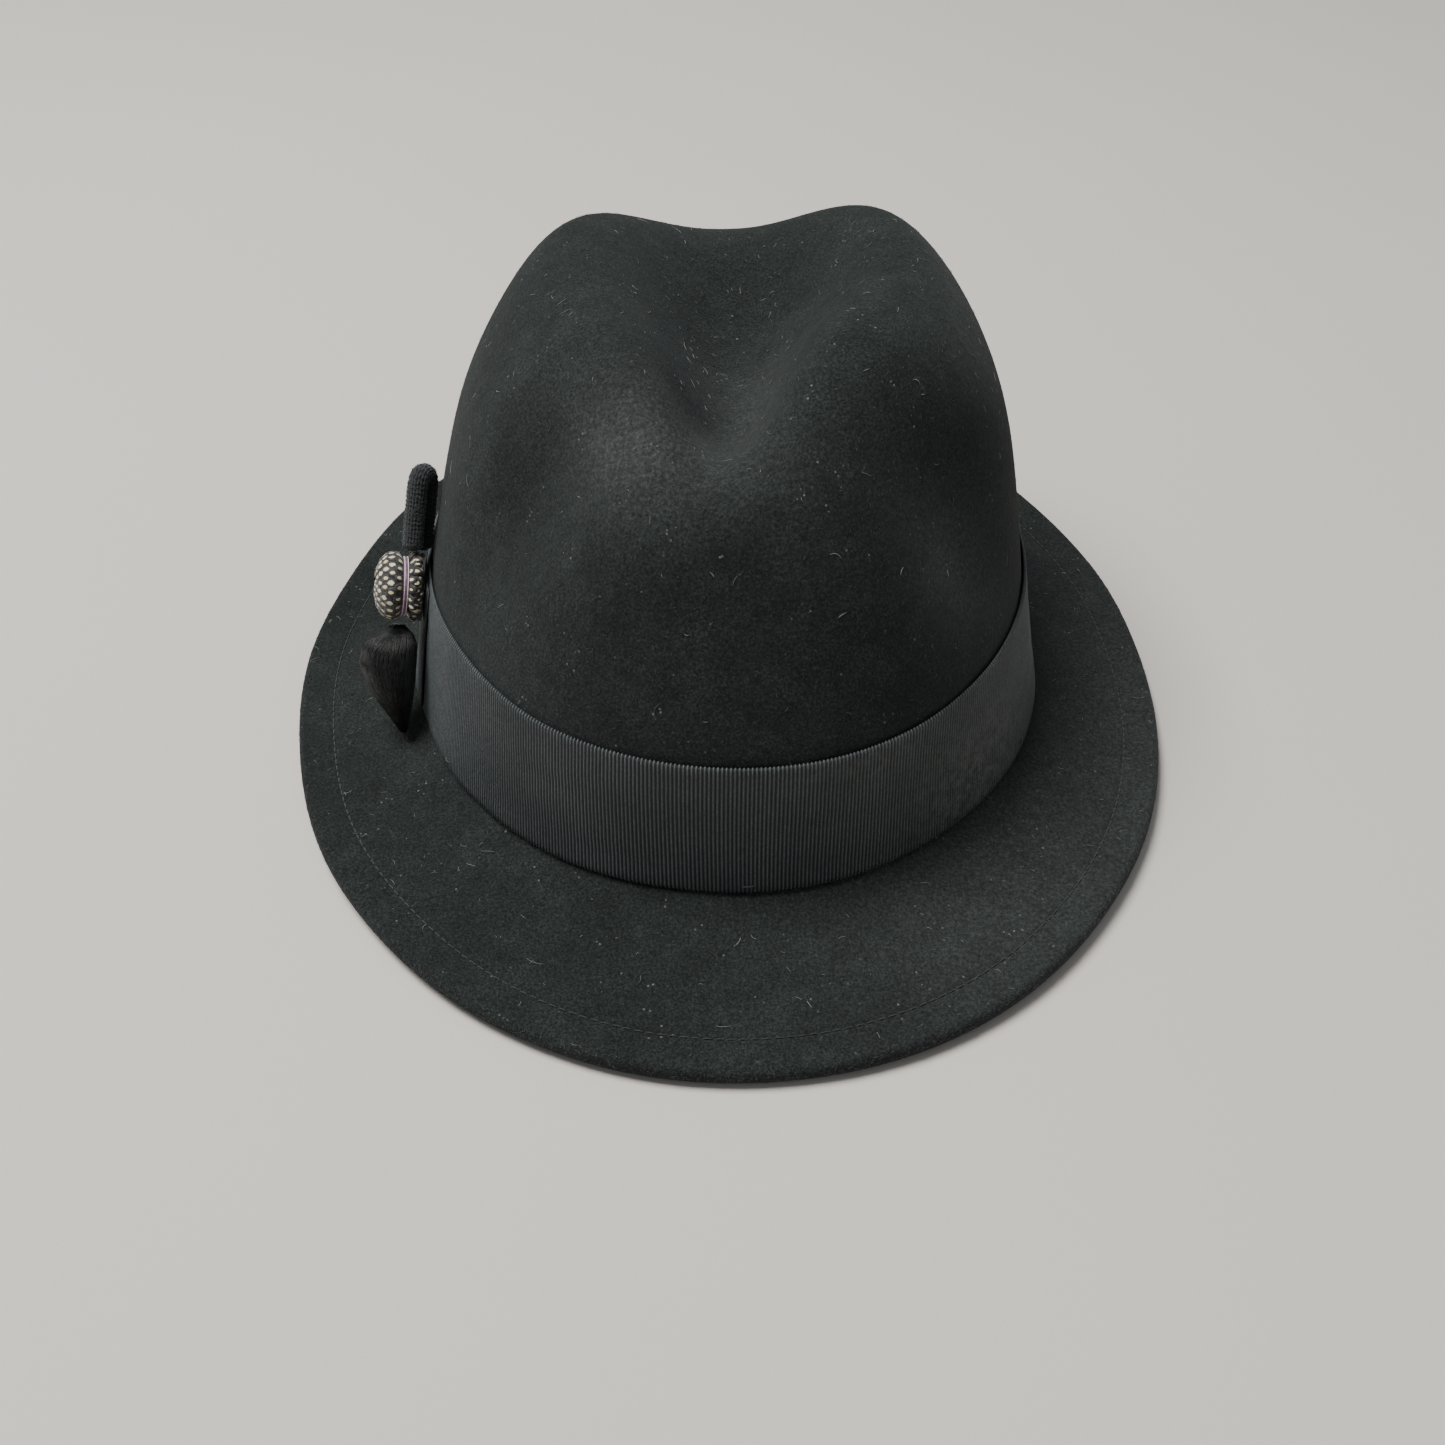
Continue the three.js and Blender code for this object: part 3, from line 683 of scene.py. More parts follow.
def edge_profile():
    """Distance from the brim's edge and drop from its top face, over the top, round the
    rolled edge and back along the sewn-down welt."""
    distances = [14, 12.5, 11.5, 10.8, 10.3, 9.9, 9.5, 9.1, 8.7, 8.2, 7.4, 6.2, 5, 3.8, 2.8]
    top = [(distance, 0.0) for distance in distances]
    quarter = np.linspace(0, TURN / 4, 6)
    over = [(EDGE_RADIUS * (1 - math.sin(a)), EDGE_RADIUS * (1 - math.cos(a))) for a in quarter]
    under = [(distance, WELT_THICKNESS - drop) for distance, drop in reversed(over)]
    step = [(5, WELT_THICKNESS), (8.3, WELT_THICKNESS), (9.0, WELT_THICKNESS - 0.08),
            (9.4, WELT_THICKNESS - 0.5), (9.55, 3.2), (9.7, 2.5), (10.1, FELT_THICKNESS)]
    return top + over + under + step


def felt_hat():
    turn = turns(FELT_AROUND)[None, :]
    climbs = crown_climbs(CROWN_RINGS)[:, None]
    outer = crown(turn, climbs)
    outer = outer[outer[:, :, 2].min(1) > BREAK_HEIGHT]
    turned = np.array([(0.0, -0.4), (0.012, -0.28), (0.028, -0.12), (0.05, 0.0)])
    profile = np.array(edge_profile())
    last_reach = 1 - (profile[0, 0] + 1.5) / brim_width(turn)
    reaches = 0.08 + (last_reach - 0.08) * np.linspace(0, 1, 20)[:, None]
    dips = SEAM_DIP * np.exp(-((profile[:, :1] - SEAM_DISTANCE) / SEAM_SPREAD) ** 2) * (profile[:, 1:] == 0)
    first_reach = 1 - (profile[-1, 0] + 1.5) / brim_width(turn)
    under = first_reach + (0.05 - first_reach) * np.linspace(0, 1, 12)[:, None]
    lowest = wall(turn, 0.0, -FELT_THICKNESS) * (1, 1, 0) - (0, 0, 1.2)
    inner_climbs = crown_climbs(48)[::-1][:, None]
    inner = crown_layer(turn, inner_climbs, -FELT_THICKNESS)
    inner = inner[inner[:, :, 2].min(1) > BREAK_HEIGHT]
    rings = np.concatenate([
        outer,
        brim(turn, turned[:, :1], turned[:, 1:]),
        brim(turn, reaches),
        brim_from_edge(turn, profile[:, :1], profile[:, 1:] + dips),
        brim(turn, under, FELT_THICKNESS),
        lowest,
        inner,
    ])
    middle = crown(0.0, TURN / 4)
    ends = (worn(middle), worn(middle - (0, 0, FELT_THICKNESS)))
    piece = capped_body("felt_hat", worn(rings), felt, HAT, ends)
    flat = np.concatenate([rings.reshape(-1, 3), ends])
    # Dust, and painted highlight on the crease lip and the right hollow, for the felt's colour.
    point_values(piece, "dust_and_highlight", dust_and_highlight_share(flat, 0.12, FELT_DUST_AND_HIGHLIGHT))
    finish_piece(piece, "hat", "felt", "felt_body")


# ---- Stitches -------------------------------------------------------------


def stitch_row(name, path, count, length, radius):
    """Separate stitches along a path round the hat: path(turn, rise) gives the points."""
    steps, sides = 7, 6
    share = np.linspace(-0.5, 0.5, steps)
    arc = 1 - (2 * share) ** 2
    middle = turns(count)[:, None]
    around = np.linalg.norm(path(middle + 0.001, 0.0) - path(middle, 0.0), axis=-1) / 0.001
    turn = middle + share[None, :] * length / around
    draw = np.random.default_rng(count)
    rise = arc[None, :] * radius * draw.uniform(0.7, 1.3, (count, 1)) - 0.35 * radius
    radii = radius * (0.35 + 0.65 * np.sqrt(np.clip(arc, 0, 1)))[None, :].repeat(count, 0)
    bodies = tubes(worn(path(turn, rise)), radii, sides, (0, 0, 1))
    return many_bodies(name, bodies, steps, sides, thread, HAT)


WELT_STITCH_RADIUS = 0.17
# The stitches under the brim lie a little nearer its edge, and in the felt, clear of the floor.
UNDER_SEAM_INSET, UNDER_SEAM_SINK = 1.2, 0.25


def welt_seam():
    def top(turn, rise):
        return brim_from_edge(turn, SEAM_DISTANCE, SEAM_DIP - 0.12 - rise)

    def bottom(turn, rise):
        drop = WELT_THICKNESS - UNDER_SEAM_SINK + rise
        return brim_from_edge(turn, SEAM_DISTANCE - UNDER_SEAM_INSET, drop)

    upper = stitch_row("welt_seam", top, count=300, length=2.2, radius=WELT_STITCH_RADIUS)
    lower = stitch_row("welt_seam_under", bottom, count=290, length=2.3, radius=WELT_STITCH_RADIUS)
    finish_piece(upper, "hat", "thread", "welt_stitching")
    finish_piece(lower, "hat", "thread", "welt_stitching")


# ---- Ribbon ---------------------------------------------------------------

RIBBON_BOTTOM, RIBBON_TOP = 0.9, 38.5
RIBBON_GAP, RIBBON_THICKNESS = 0.35, 0.8
RIB_PITCH = 0.98
RIB_HEIGHT = 0.19
RIB_SAMPLES = 4
EDGE_TOOTH = 0.28
OVERLAP_MIDDLE, OVERLAP_HALF = math.pi + 0.17, 0.085
PRESS_MARK = ((-27.0, 33.2), (-16.0, 31.4))
DRAW_LINE = ((48.0, 20.0), (72.0, 26.0))
RIBBON_DUST = ((1.0, (66, -74, 12), (26, 26, 16)), (0.3, (30, -98, 34), (22, 12, 6)))
PLAIN_DUST = 0.05
OVERLAP_INSET, OVERLAP_THICKNESS = 0.5, 0.5
TACK_COUNT, TACK_HALF, TACK_HEIGHT, TACK_RADIUS = 6, 0.016, 3.3, 0.2


def even_turns(z, start, sweep, pitch, samples):
    """Turns evenly spread along a band, a whole number of pitches, and each one's phase."""
    fine = np.linspace(start, start + sweep, 4001)
    line = wall(fine, z, RIBBON_THICKNESS)
    run = np.concatenate([[0], np.cumsum(np.linalg.norm(np.diff(line, axis=0), axis=1))])
    count = round(run[-1] / pitch) * samples
    places = np.arange(count) / count * run[-1]
    return np.interp(places, run, fine), TURN * np.arange(count) / samples, run[-1]


def near_line(points, line, spread):
    """How near points on the front are to a straight mark, seen from the front."""
    (x0, z0), (x1, z1) = line
    start, way = np.array([x0, z0]), np.array([x1 - x0, z1 - z0])
    flat = points[..., [0, 2]] - start
    share = np.clip(flat @ way / (way @ way), 0, 1)
    away = np.linalg.norm(flat - share[..., None] * way, axis=-1)
    return np.exp(-(away / spread) ** 2) * np.sin(np.pi * np.clip(share, 0.02, 0.98)) * (points[..., 1] < 0)


def ribbed_section(turn, phase, bottom, top, inner, thickness):
    """Points round the section of a ribbed band at each turn, and each point's height on its rib."""
    ridge = np.cos(phase)
    shares = np.array([0.004, 0.02, 0.06, *np.linspace(0.13, 0.87, 13), 0.94, 0.98, 0.996])
    rounding = np.minimum(1, np.sqrt(np.minimum(shares, 1 - shares) / 0.02))
    low = bottom - EDGE_TOOTH * ridge
    high = top + EDGE_TOOTH * ridge
    z = low[None, :] + shares[:, None] * (high - low)[None, :]
    plain = wall(turn[None, :], z, inner + thickness)
    uneven = 0.10 * waves(plain * (1, 1, 0.5), 30, 21) + 0.06 * waves(plain * (1, 1, 3), 26, 22)
    marks = 0.35 * near_line(plain, PRESS_MARK, 0.45) + 0.18 * near_line(plain, DRAW_LINE, 0.8)
    relief = RIB_HEIGHT * ridge[None, :] + uneven - marks
    outer = inner + thickness * rounding[:, None] + relief * rounding[:, None]
    front = wall(turn[None, :], z, outer)
    back_rows = [-2, len(shares) // 2, 1]
    rear = wall(turn[None, :], z[back_rows], inner)
    rib = np.concatenate([0.5 + 0.5 * ridge[None, :].repeat(len(shares), 0), np.zeros((3, len(turn)))])
    return np.concatenate([front, rear]), rib


def hat_ribbon():
    turn, phase, length = even_turns(20.0, 0.0, TURN, RIB_PITCH, RIB_SAMPLES)
    rings, rib = ribbed_section(turn, phase, RIBBON_BOTTOM, RIBBON_TOP, RIBBON_GAP, RIBBON_THICKNESS)
    piece = ring_body("grosgrain_ribbon", worn(rings), grosgrain, HAT)
    point_values(piece, "rib", rib.ravel())
    point_values(piece, "dust_and_highlight", dust_and_highlight_share(rings.reshape(-1, 3), PLAIN_DUST, RIBBON_DUST))
    finish_piece(piece, "hat", "grosgrain", "hat_ribbon")


def ribbon_overlap():
    start = OVERLAP_MIDDLE - OVERLAP_HALF
    turn, phase, length = even_turns(20.0, start, 2 * OVERLAP_HALF, RIB_PITCH, RIB_SAMPLES)
    inner = RIBBON_GAP + RIBBON_THICKNESS + FIT
    bottom, top = RIBBON_BOTTOM + OVERLAP_INSET, RIBBON_TOP - OVERLAP_INSET
    rings, rib = ribbed_section(turn, phase, bottom, top, inner, OVERLAP_THICKNESS)
    sections = worn(rings.transpose(1, 0, 2))
    piece = capped_body("grosgrain_overlap", sections, grosgrain, HAT)
    point_values(piece, "rib", np.concatenate([rib.T.ravel(), [0, 0]]))
    point_values(piece, "dust_and_highlight", np.full(len(piece.data.vertices), PLAIN_DUST))
    finish_piece(piece, "hat", "grosgrain", "ribbon_overlap")


def ribbon_tacks():
    steps, sides = 7, 6
    share = np.linspace(-1, 1, steps)
    offset = RIBBON_GAP + RIBBON_THICKNESS + RIB_HEIGHT + 0.2 - 0.25 * share ** 2
    for index in range(TACK_COUNT):
        turn = (index + 0.5) / TACK_COUNT * TURN + share * TACK_HALF
        path = worn(wall(turn, TACK_HEIGHT + 0.15 * share, offset))[None]
        radii = TACK_RADIUS * (1 - 0.5 * share ** 4)[None]
        bodies = tubes(path, radii, sides, (0, 0, 1))
        piece = many_bodies(f"tack_{index + 1}", bodies, steps, sides, thread, HAT)
        finish_piece(piece, "hat", "thread", f"ribbon_tack_{index + 1}")


# ---- Inside the opening ---------------------------------------------------

TAPE_OUTER = -FELT_THICKNESS - FIT
TAPE_THICKNESS = 0.35
LEATHER_OUTER = TAPE_OUTER - TAPE_THICKNESS - FIT
LEATHER_THICKNESS = 1.0
LEATHER_INNER = LEATHER_OUTER - LEATHER_THICKNESS
LEATHER_BOTTOM, LEATHER_TOP = 0.3, 34.0
LEATHER_GAP = 0.9
TAPE_BOTTOM, TAPE_TOP = 2.0, 12.0
REED_RADIUS = 0.8
LINING_BOTTOM = 36.0
LINING_THICKNESS = 0.5
LINING_OUTER = -FELT_THICKNESS - 1.4
LINING_INNER = LINING_OUTER - LINING_THICKNESS
SEAM_CLIMB = math.radians(48)
SEAM_HALF = math.radians(0.7)
PIPING_RADIUS = 0.42
BAND_AROUND = 300


def band_length(z, offset):
    fine = np.linspace(0, TURN, 1001)
    return np.linalg.norm(np.diff(wall(fine, z, offset), axis=0), axis=1).sum()


def rounded_section(bottom, top, outer, inner, rows):
    """Height and offset round the section of a band with rounded edges."""
    radius = (outer - inner) / 2
    middle = (outer + inner) / 2
    bend = np.linspace(0, TURN / 2, 7)
    side = np.linspace(0, 1, rows)[1:-1]
    low, high = bottom + radius, top - radius
    up = [(low + (high - low) * share, outer) for share in side]
    over = [(high + radius * math.sin(a), middle + radius * math.cos(a)) for a in bend]
    down = [(high - (high - low) * share, inner) for share in side]
    below = [(low - radius * math.sin(a), middle - radius * math.cos(a)) for a in bend]
    return np.array(up + over + down + below)


def sweatband():
    half_gap = LEATHER_GAP / 2 / HEAD_HALF_WIDTH
    turn = np.linspace(TURN / 4 + half_gap, TURN * 5 / 4 - half_gap, BAND_AROUND)[None, :]
    section = rounded_section(LEATHER_BOTTOM, LEATHER_TOP, LEATHER_OUTER, LEATHER_INNER, 16)
    z, offset = section[:, :1], section[:, 1:]
    plain = wall(turn, z, offset)
    ripple = 0.25 * waves(plain * (1, 1, 0.2), 34, 31) * smooth(8, 34, z)
    roll = 0.35 * np.exp(-((z - 4.9) / 1.1) ** 2) * (offset < (LEATHER_OUTER + LEATHER_INNER) / 2)
    rings = wall(turn, z, offset + ripple - 0.25 * smooth(8, 34, z) + roll)
    piece = capped_body("leather_sweatband", worn(rings).transpose(1, 0, 2), leather, HAT)
    finish_piece(piece, "hat", "leather", "sweatband")
    flat = ((LEATHER_TOP - LEATHER_BOTTOM) * MM, band_length(17.0, LEATHER_INNER) * MM)


def reed():
    turn = turns(BAND_AROUND)[None, :]
    angle = turns(10)[:, None]
    middle = (LEATHER_OUTER + LEATHER_INNER) / 2
    rings = wall(turn, 0.0, middle + REED_RADIUS * np.cos(angle))
    height = LEATHER_BOTTOM - FIT - REED_RADIUS + REED_RADIUS * np.sin(angle)
    rings[..., 2] = height + 0.04 * np.cos(turn * 160)
    piece = ring_body("reed", worn(rings), tape, HAT)
    finish_piece(piece, "hat", "tape", "sweatband_reed")


def reed_tape():
    section = rounded_section(TAPE_BOTTOM, TAPE_TOP, TAPE_OUTER, TAPE_OUTER - TAPE_THICKNESS, 6)
    rings = wall(turns(BAND_AROUND)[None, :], section[:, :1], section[:, 1:])
    piece = ring_body("woven_reed_tape", worn(rings), tape, HAT)
    finish_piece(piece, "hat", "tape", "reed_tape")
    flat = ((TAPE_TOP - TAPE_BOTTOM) * MM, band_length(7.0, TAPE_OUTER) * MM)


def sweatband_seam():
    def row(turn, rise):
        return wall(turn, 3.5, LEATHER_INNER - FIT + 0.15 - rise)

    piece = stitch_row("leather_seam", row, count=178, length=2.4, radius=0.2)
    finish_piece(piece, "hat", "thread", "sweatband_stitching")


def strap(path, widths, thickness, across):
    """Sections of a narrow ribbon along a path; across is the direction of its width."""
    path = np.asarray(path, float)
    tangent = unit(np.gradient(path, axis=0))
    normal = unit(np.cross(tangent, across))
    side = np.cross(normal, tangent)
    outline = np.array([(-0.5, -0.5), (0, -0.62), (0.5, -0.5), (0.5, 0.5), (0, 0.38), (-0.5, 0.5)])
    wide = side[:, None] * outline[None, :, :1] * np.asarray(widths)[:, None, None]
    return path[:, None] + wide + normal[:, None] * outline[None, :, 1:] * thickness


def sweatband_bow():
    """Two loops, two tails and a knot of narrow ribbon, lying on the leather at the back."""
    seat = wall(TURN / 4, 12.0, LEATHER_INNER - FIT) - (0, 1.4, 0)
    angle = np.linspace(0, TURN, 61)
    loops = np.stack([8.6 * np.sin(angle), -0.35 - 0.5 * np.sin(2 * angle), 1.8 * np.sin(angle) ** 2], -1)
    widths = 1.5 + 3.4 * np.abs(np.sin(angle)) ** 0.8
    pieces = [("bow_loops", loops[1:-1], widths[1:-1])]
    fall = np.linspace(0, 1, 16)
    for side, name in ((-1, "bow_tail_left"), (1, "bow_tail_right")):
        tail = np.stack([side * (0.6 + 7.0 * fall ** 1.2), -0.15 - 0.25 * np.sin(3 * fall), -5.2 * fall], -1)
        pieces.append((name, tail, 1.6 + 1.6 * fall))
    bend = np.linspace(0.2, TURN - 0.2, 24)
    knot = np.stack([0 * bend, -0.35 + 0.55 * np.cos(bend), 0.3 + 1.3 * np.sin(bend)], -1)
    pieces.append(("bow_knot", knot, np.full(len(bend), 2.2)))
    for name, path, width in pieces:
        across = (1, 0, 0) if name == "bow_knot" else (0, 0, 1)
        made = capped_body(name, worn(strap(path, width, 0.22, across) + seat), tape, HAT)
        finish_piece(made, "hat", "tape", "sweatband_bow")


def lining_side():
    turn = turns(480)[None, :]
    heights = np.linspace(LINING_BOTTOM, 51, 8)[:, None]
    climbs = np.linspace(math.radians(27.5), SEAM_CLIMB - SEAM_HALF, 14)[:, None]

    def face(offset):
        low = wall(turn, heights, offset)
        high = crown_layer(turn, climbs, offset)
        high = high[high[:, :, 2].min(1) > 52.5]
        rows = np.concatenate([low, high])
        rise = np.linspace(0, 1, len(rows))[:, None]
        gathers = 0.22 * np.sin(turn * 60 + 1.5 * np.sin(turn * 7)) * rise ** 1.5
        inward = unit(rows * (1, 1, 0))
        return rows + inward * gathers[..., None]

    rings = np.concatenate([face(LINING_OUTER), face(LINING_INNER)[::-1]])
    piece = ring_body("lining_wall", worn(rings), satin, HAT)
    finish_piece(piece, "hat", "satin", "lining_side")
    length = band_length(LINING_BOTTOM, LINING_INNER) * MM


def lining_tip():
    turn = turns(240)[None, :]
    climbs = np.linspace(SEAM_CLIMB + SEAM_HALF, TURN / 4 - 0.02, 40)[:, None]
    outer = crown_layer(turn, climbs, LINING_OUTER)
    inner = crown_layer(turn, climbs, LINING_INNER)
    top = crown(0.0, TURN / 4)
    ends = (worn(top + (0, 0, LINING_OUTER)), worn(top + (0, 0, LINING_INNER)))
    piece = capped_body("lining_top", worn(np.concatenate([outer[::-1], inner])), satin, HAT, ends)
    finish_piece(piece, "hat", "satin", "lining_tip")


def lining_piping():
    turn = turns(480)[None, :]
    angle = turns(8)[:, None]
    radius = PIPING_RADIUS + 0.06 * np.cos(turn * 240 + angle)
    middle = LINING_INNER - FIT - 0.45
    climb = SEAM_CLIMB + SEAM_HALF * 0.9 * np.cos(angle) * radius / PIPING_RADIUS
    rings = crown_layer(turn, climb, middle + radius * np.sin(angle))
    piece = ring_body("piping", worn(rings), satin, HAT)
    finish_piece(piece, "hat", "satin", "lining_piping")


# ---- Cord loop ------------------------------------------------------------

CORD_RADIUS = 2.7
LEG_APART, LEG_OUT = 4.8, 2.9
LOOP_TOP, LOOP_FOOT, LOOP_LIFT, LOOP_INSET = 32.5, 9.6, 2.4, 0.8
KNIT_COLUMNS, KNIT_PITCH, KNIT_DEPTH = 10, 1.15, 0.42


def loop_path(share):
    """Up one leg of the cord, over the top and down the other."""
    radius = math.hypot(LEG_APART, LEG_OUT) / 2
    crest = LOOP_TOP - CORD_RADIUS - radius
    straight = crest - LOOP_FOOT
    arc = math.pi * radius
    travelled = share * (2 * straight + arc)
    angle = np.clip((travelled - straight) / radius, 0, math.pi)
    fall = np.maximum(travelled - straight - arc, 0)
    side = np.cos(angle) / 2
    y = np.minimum(LOOP_FOOT + travelled, crest) + radius * np.sin(angle) - fall
    climbed = (y - LOOP_FOOT) / (LOOP_TOP - LOOP_FOOT)
    z = LOOP_LIFT + side * LEG_OUT - LOOP_INSET * climbed ** 2
    return np.stack([side * LEG_APART, y, z], -1), 2 * straight + arc


def cord_loop():
    steps, sides = 330, 80
    share = np.linspace(0, 1, steps)
    path, length = loop_path(share)
    tangent = unit(np.gradient(path, axis=0))
    plane = unit(np.cross((0, 1, 0), (LEG_APART, 0, LEG_OUT)))
    across = unit(np.cross(tangent, plane))
    angle = np.arange(sides) * TURN / sides
    column = (angle / TURN * KNIT_COLUMNS) % 1 - 0.5
    leg = np.cos(TURN * (np.abs(column) - 0.25))
    phase = share[:, None] * length / KNIT_PITCH - 1.1 * np.abs(column)[None, :]
    yarn = (0.5 + 0.5 * np.cos(TURN * phase)) ** 0.8
    relief = np.clip(leg, 0, 1)[None, :] ** 0.7 * (0.3 + 0.7 * yarn)
    end = np.minimum(share, 1 - share)[:, None] * length
    radius = (CORD_RADIUS - KNIT_DEPTH * 0.75 + KNIT_DEPTH * relief) * np.sqrt(np.clip(end / 1.2, 0.25, 1))
    spokes = across[:, None] * np.cos(angle)[None, :, None] + plane * np.sin(angle)[None, :, None]
    sections = path[:, None] + spokes * radius[..., None]
    piece = capped_body("knitted_loop", sections, cord, ORNAMENT)
    point_values(piece, "relief", np.concatenate([relief.ravel(), [0, 0]]))
    finish_piece(piece, "ornament", "cord", "cord_loop")


# ---- Feathers -------------------------------------------------------------

LEAF_ROWS, LEAF_COLUMNS = 8, 5


def lathed(profile, segments, wobble=0.0, seed=0):
    """Sections of a body turned about the ornament's outward axis."""
    profile = np.asarray(profile, float)
    angle = turns(segments)
    draw = np.random.default_rng(seed)
    radius = profile[:, :1] * (1 + wobble * draw.normal(size=(len(profile), segments)))
    height = np.broadcast_to(profile[:, 1:], radius.shape)
    return np.stack([radius * np.cos(angle), radius * np.sin(angle), height], -1)


class Profile:
    """A smooth outline, radius against height, that feathers are laid along."""

    def __init__(self, points):
        points = np.asarray(points, float)
        steps = np.linspace(0, len(points) - 1, 400)
        knots = np.arange(len(points))
        line = np.stack([np.interp(steps, knots, points[:, i]) for i in (0, 1)], -1)
        kernel = np.hanning(61) / np.hanning(61).sum()
        padded = np.pad(line, ((30, 30), (0, 0)), "edge")
        self.line = np.stack([np.convolve(padded[:, i], kernel, "valid") for i in (0, 1)], -1)
        self.run = np.concatenate([[0], np.cumsum(np.linalg.norm(np.diff(self.line, axis=0), axis=1))])

    def at(self, distance):
        """Radius, height, and the slope of the outline at a distance along it."""
        def value(d):
            return np.stack([np.interp(d, self.run, self.line[:, i]) for i in (0, 1)], -1)
        slope = unit(value(distance + 0.15) - value(distance - 0.15) + 1e-9)
        return value(distance), slope


def leaves(profile, starts, angles, lengths, widths, lifts, outward):
    """Thin closed feathers laid along a turned outline, and each point's place on its feather.
    outward is 1 where the outline's right-hand side faces out, and -1 where its left does."""
    along = np.linspace(0, 1, LEAF_ROWS)
    across = np.linspace(-1, 1, LEAF_COLUMNS)
    shape = np.sin(math.pi * np.clip(0.10 + 0.82 * along, 0, 1)) ** 0.55
    distance = starts[:, None] + lengths[:, None] * along
    value, slope = profile.at(distance)
    radius, height = value[..., 0], value[..., 1]
    cos, sin = np.cos(angles)[:, None], np.sin(angles)[:, None]
    base = np.stack([radius * cos, radius * sin, height], -1)
    normal = outward * np.stack([slope[..., 1] * cos, slope[..., 1] * sin, -slope[..., 0]], -1)
    sideways = np.stack([-np.sin(angles), np.cos(angles), 0 * angles], -1)[:, None]
    half = widths[:, None] / 2 * shape
    lift = lifts[:, None] * (0.25 + along ** 1.4)
    bend = (half ** 2 / (2 * np.maximum(radius, 2.5)))[..., None] * across ** 2
    spread = base[:, :, None] + sideways[:, :, None] * (half[..., None] * across)[..., None]
    top = spread + normal[:, :, None] * (lift[..., None] - bend + 0.12 * (1 - across ** 2))[..., None]
    bottom = spread + normal[:, :, None] * (lift[..., None] - bend - 0.05)[..., None]
    sections = np.concatenate([top, bottom[:, :, ::-1]], 2)
    tips = np.stack([base[:, 0] + normal[:, 0] * lift[:, :1], base[:, -1] + normal[:, -1] * lift[:, -1:]], 1)
    bodies = np.concatenate([sections.reshape(len(starts), -1, 3), tips], 1)
    place = np.zeros((LEAF_ROWS, 2 * LEAF_COLUMNS, 2))
    place[..., 0] = np.concatenate([across, across[::-1]]) * shape[:, None]
    place[..., 1] = along[:, None]
    return bodies, np.concatenate([place.reshape(-1, 2), [(0, 0), (0, 1)]])


def plumage(name, core, profile, rows, seed, spot, mess, outward):
    """A dark core and rows of overlapping feathers: rows are (start, count, length, width).
    spot is its middle along the feather, half width across and half length."""
    draw = np.random.default_rng(seed)
    starts, angles, lengths, widths = [], [], [], []
    for index, (start, count, length, width) in enumerate(rows):
        shift = 0.5 * (index % 2) + 0.13 * index * mess
        jitter = draw.uniform(-0.5, 0.5, count) * (0.16 + mess)
        angles.append((np.arange(count) + shift + jitter) / count * TURN)
        starts.append(start + draw.uniform(-0.5, 0.5, count) * (0.25 + mess))
        lengths.append(length * draw.uniform(0.92, 1.08, count))
        widths.append(width * draw.uniform(0.9, 1.1, count))
    starts, angles, lengths, widths = (np.concatenate(v) for v in (starts, angles, lengths, widths))
    lifts = draw.uniform(0.16, 0.34, len(starts)) * (1 + 2.5 * mess)
    bodies, place = leaves(profile, starts, angles, lengths, widths, lifts, outward)
    count = len(bodies)
    middle, half_width, half_length = spot
    scale = draw.uniform(0.85, 1.15, (count, 1)) * (1 - 0.35 * mess * draw.uniform(0, 1, (count, 1)))
    drift = draw.uniform(-0.5, 0.5, (count, 1)) * (0.12 + 0.6 * mess)
    leaf = np.zeros((count, len(place), 3))
    leaf[..., 0] = (place[None, :, 0] - drift) / (half_width * scale)
    leaf[..., 1] = (place[None, :, 1] - middle) / (half_length * scale)
    leaf[..., 2] = draw.uniform(0.75, 1.0, (count, 1))
    sections = lathed(core, 48, 0.006, seed)
    rings, columns, _ = sections.shape
    core_points = np.concatenate([sections.reshape(-1, 3), [sections[0].mean(0), sections[-1].mean(0)]])
    core_quads, core_triangles = faces_out(core_points, *capped_faces(rings, columns))
    quads, triangles = faces_out(bodies[0] - bodies[0].mean(0), *capped_faces(LEAF_ROWS, 2 * LEAF_COLUMNS))
    shift = (len(core_points) + np.arange(count) * bodies.shape[1])[:, None, None]
    points = np.concatenate([core_points, bodies.reshape(-1, 3)])
    quads = np.concatenate([core_quads, (quads[None] + shift).reshape(-1, 4)])
    triangles = np.concatenate([core_triangles, (triangles[None] + shift).reshape(-1, 3)])
    piece = add_mesh(name, points, quads, triangles, feather, ORNAMENT)
    plain = np.tile([9.0, 9.0, 0.0], (len(core_points), 1))
    point_values(piece, "leaf", np.concatenate([plain, leaf.reshape(-1, 3)]))
    return piece


def feather_cap():
    outline = Profile([
        (6.2, 5.9), (7.8, 6.5), (8.6, 7.4), (8.75, 8.6), (8.1, 10.4), (6.0, 12.0), (3.0, 12.8), (0.1, 13.0),
    ])
    core = [
        (5.9, 4.6), (6.0, 6.1), (7.4, 6.7), (8.1, 7.6), (8.25, 8.7), (7.6, 10.2), (5.6, 11.6), (2.8, 12.4),
        (0.5, 12.5),
    ]
    rows = [(0.1, 20, 3.6, 2.8), (2.1, 21, 3.6, 3.0), (4.0, 20, 3.5, 2.9), (5.9, 17, 3.4, 2.8),
            (7.7, 13, 3.2, 2.7), (9.3, 8, 2.9, 2.4), (10.5, 3, 2.2, 2.2)]
    piece = plumage("cap_feathers", core, outline, rows, 5, (0.66, 0.50, 0.27), 0.0, 1)
    finish_piece(piece, "ornament", "feather", "feather_cap")


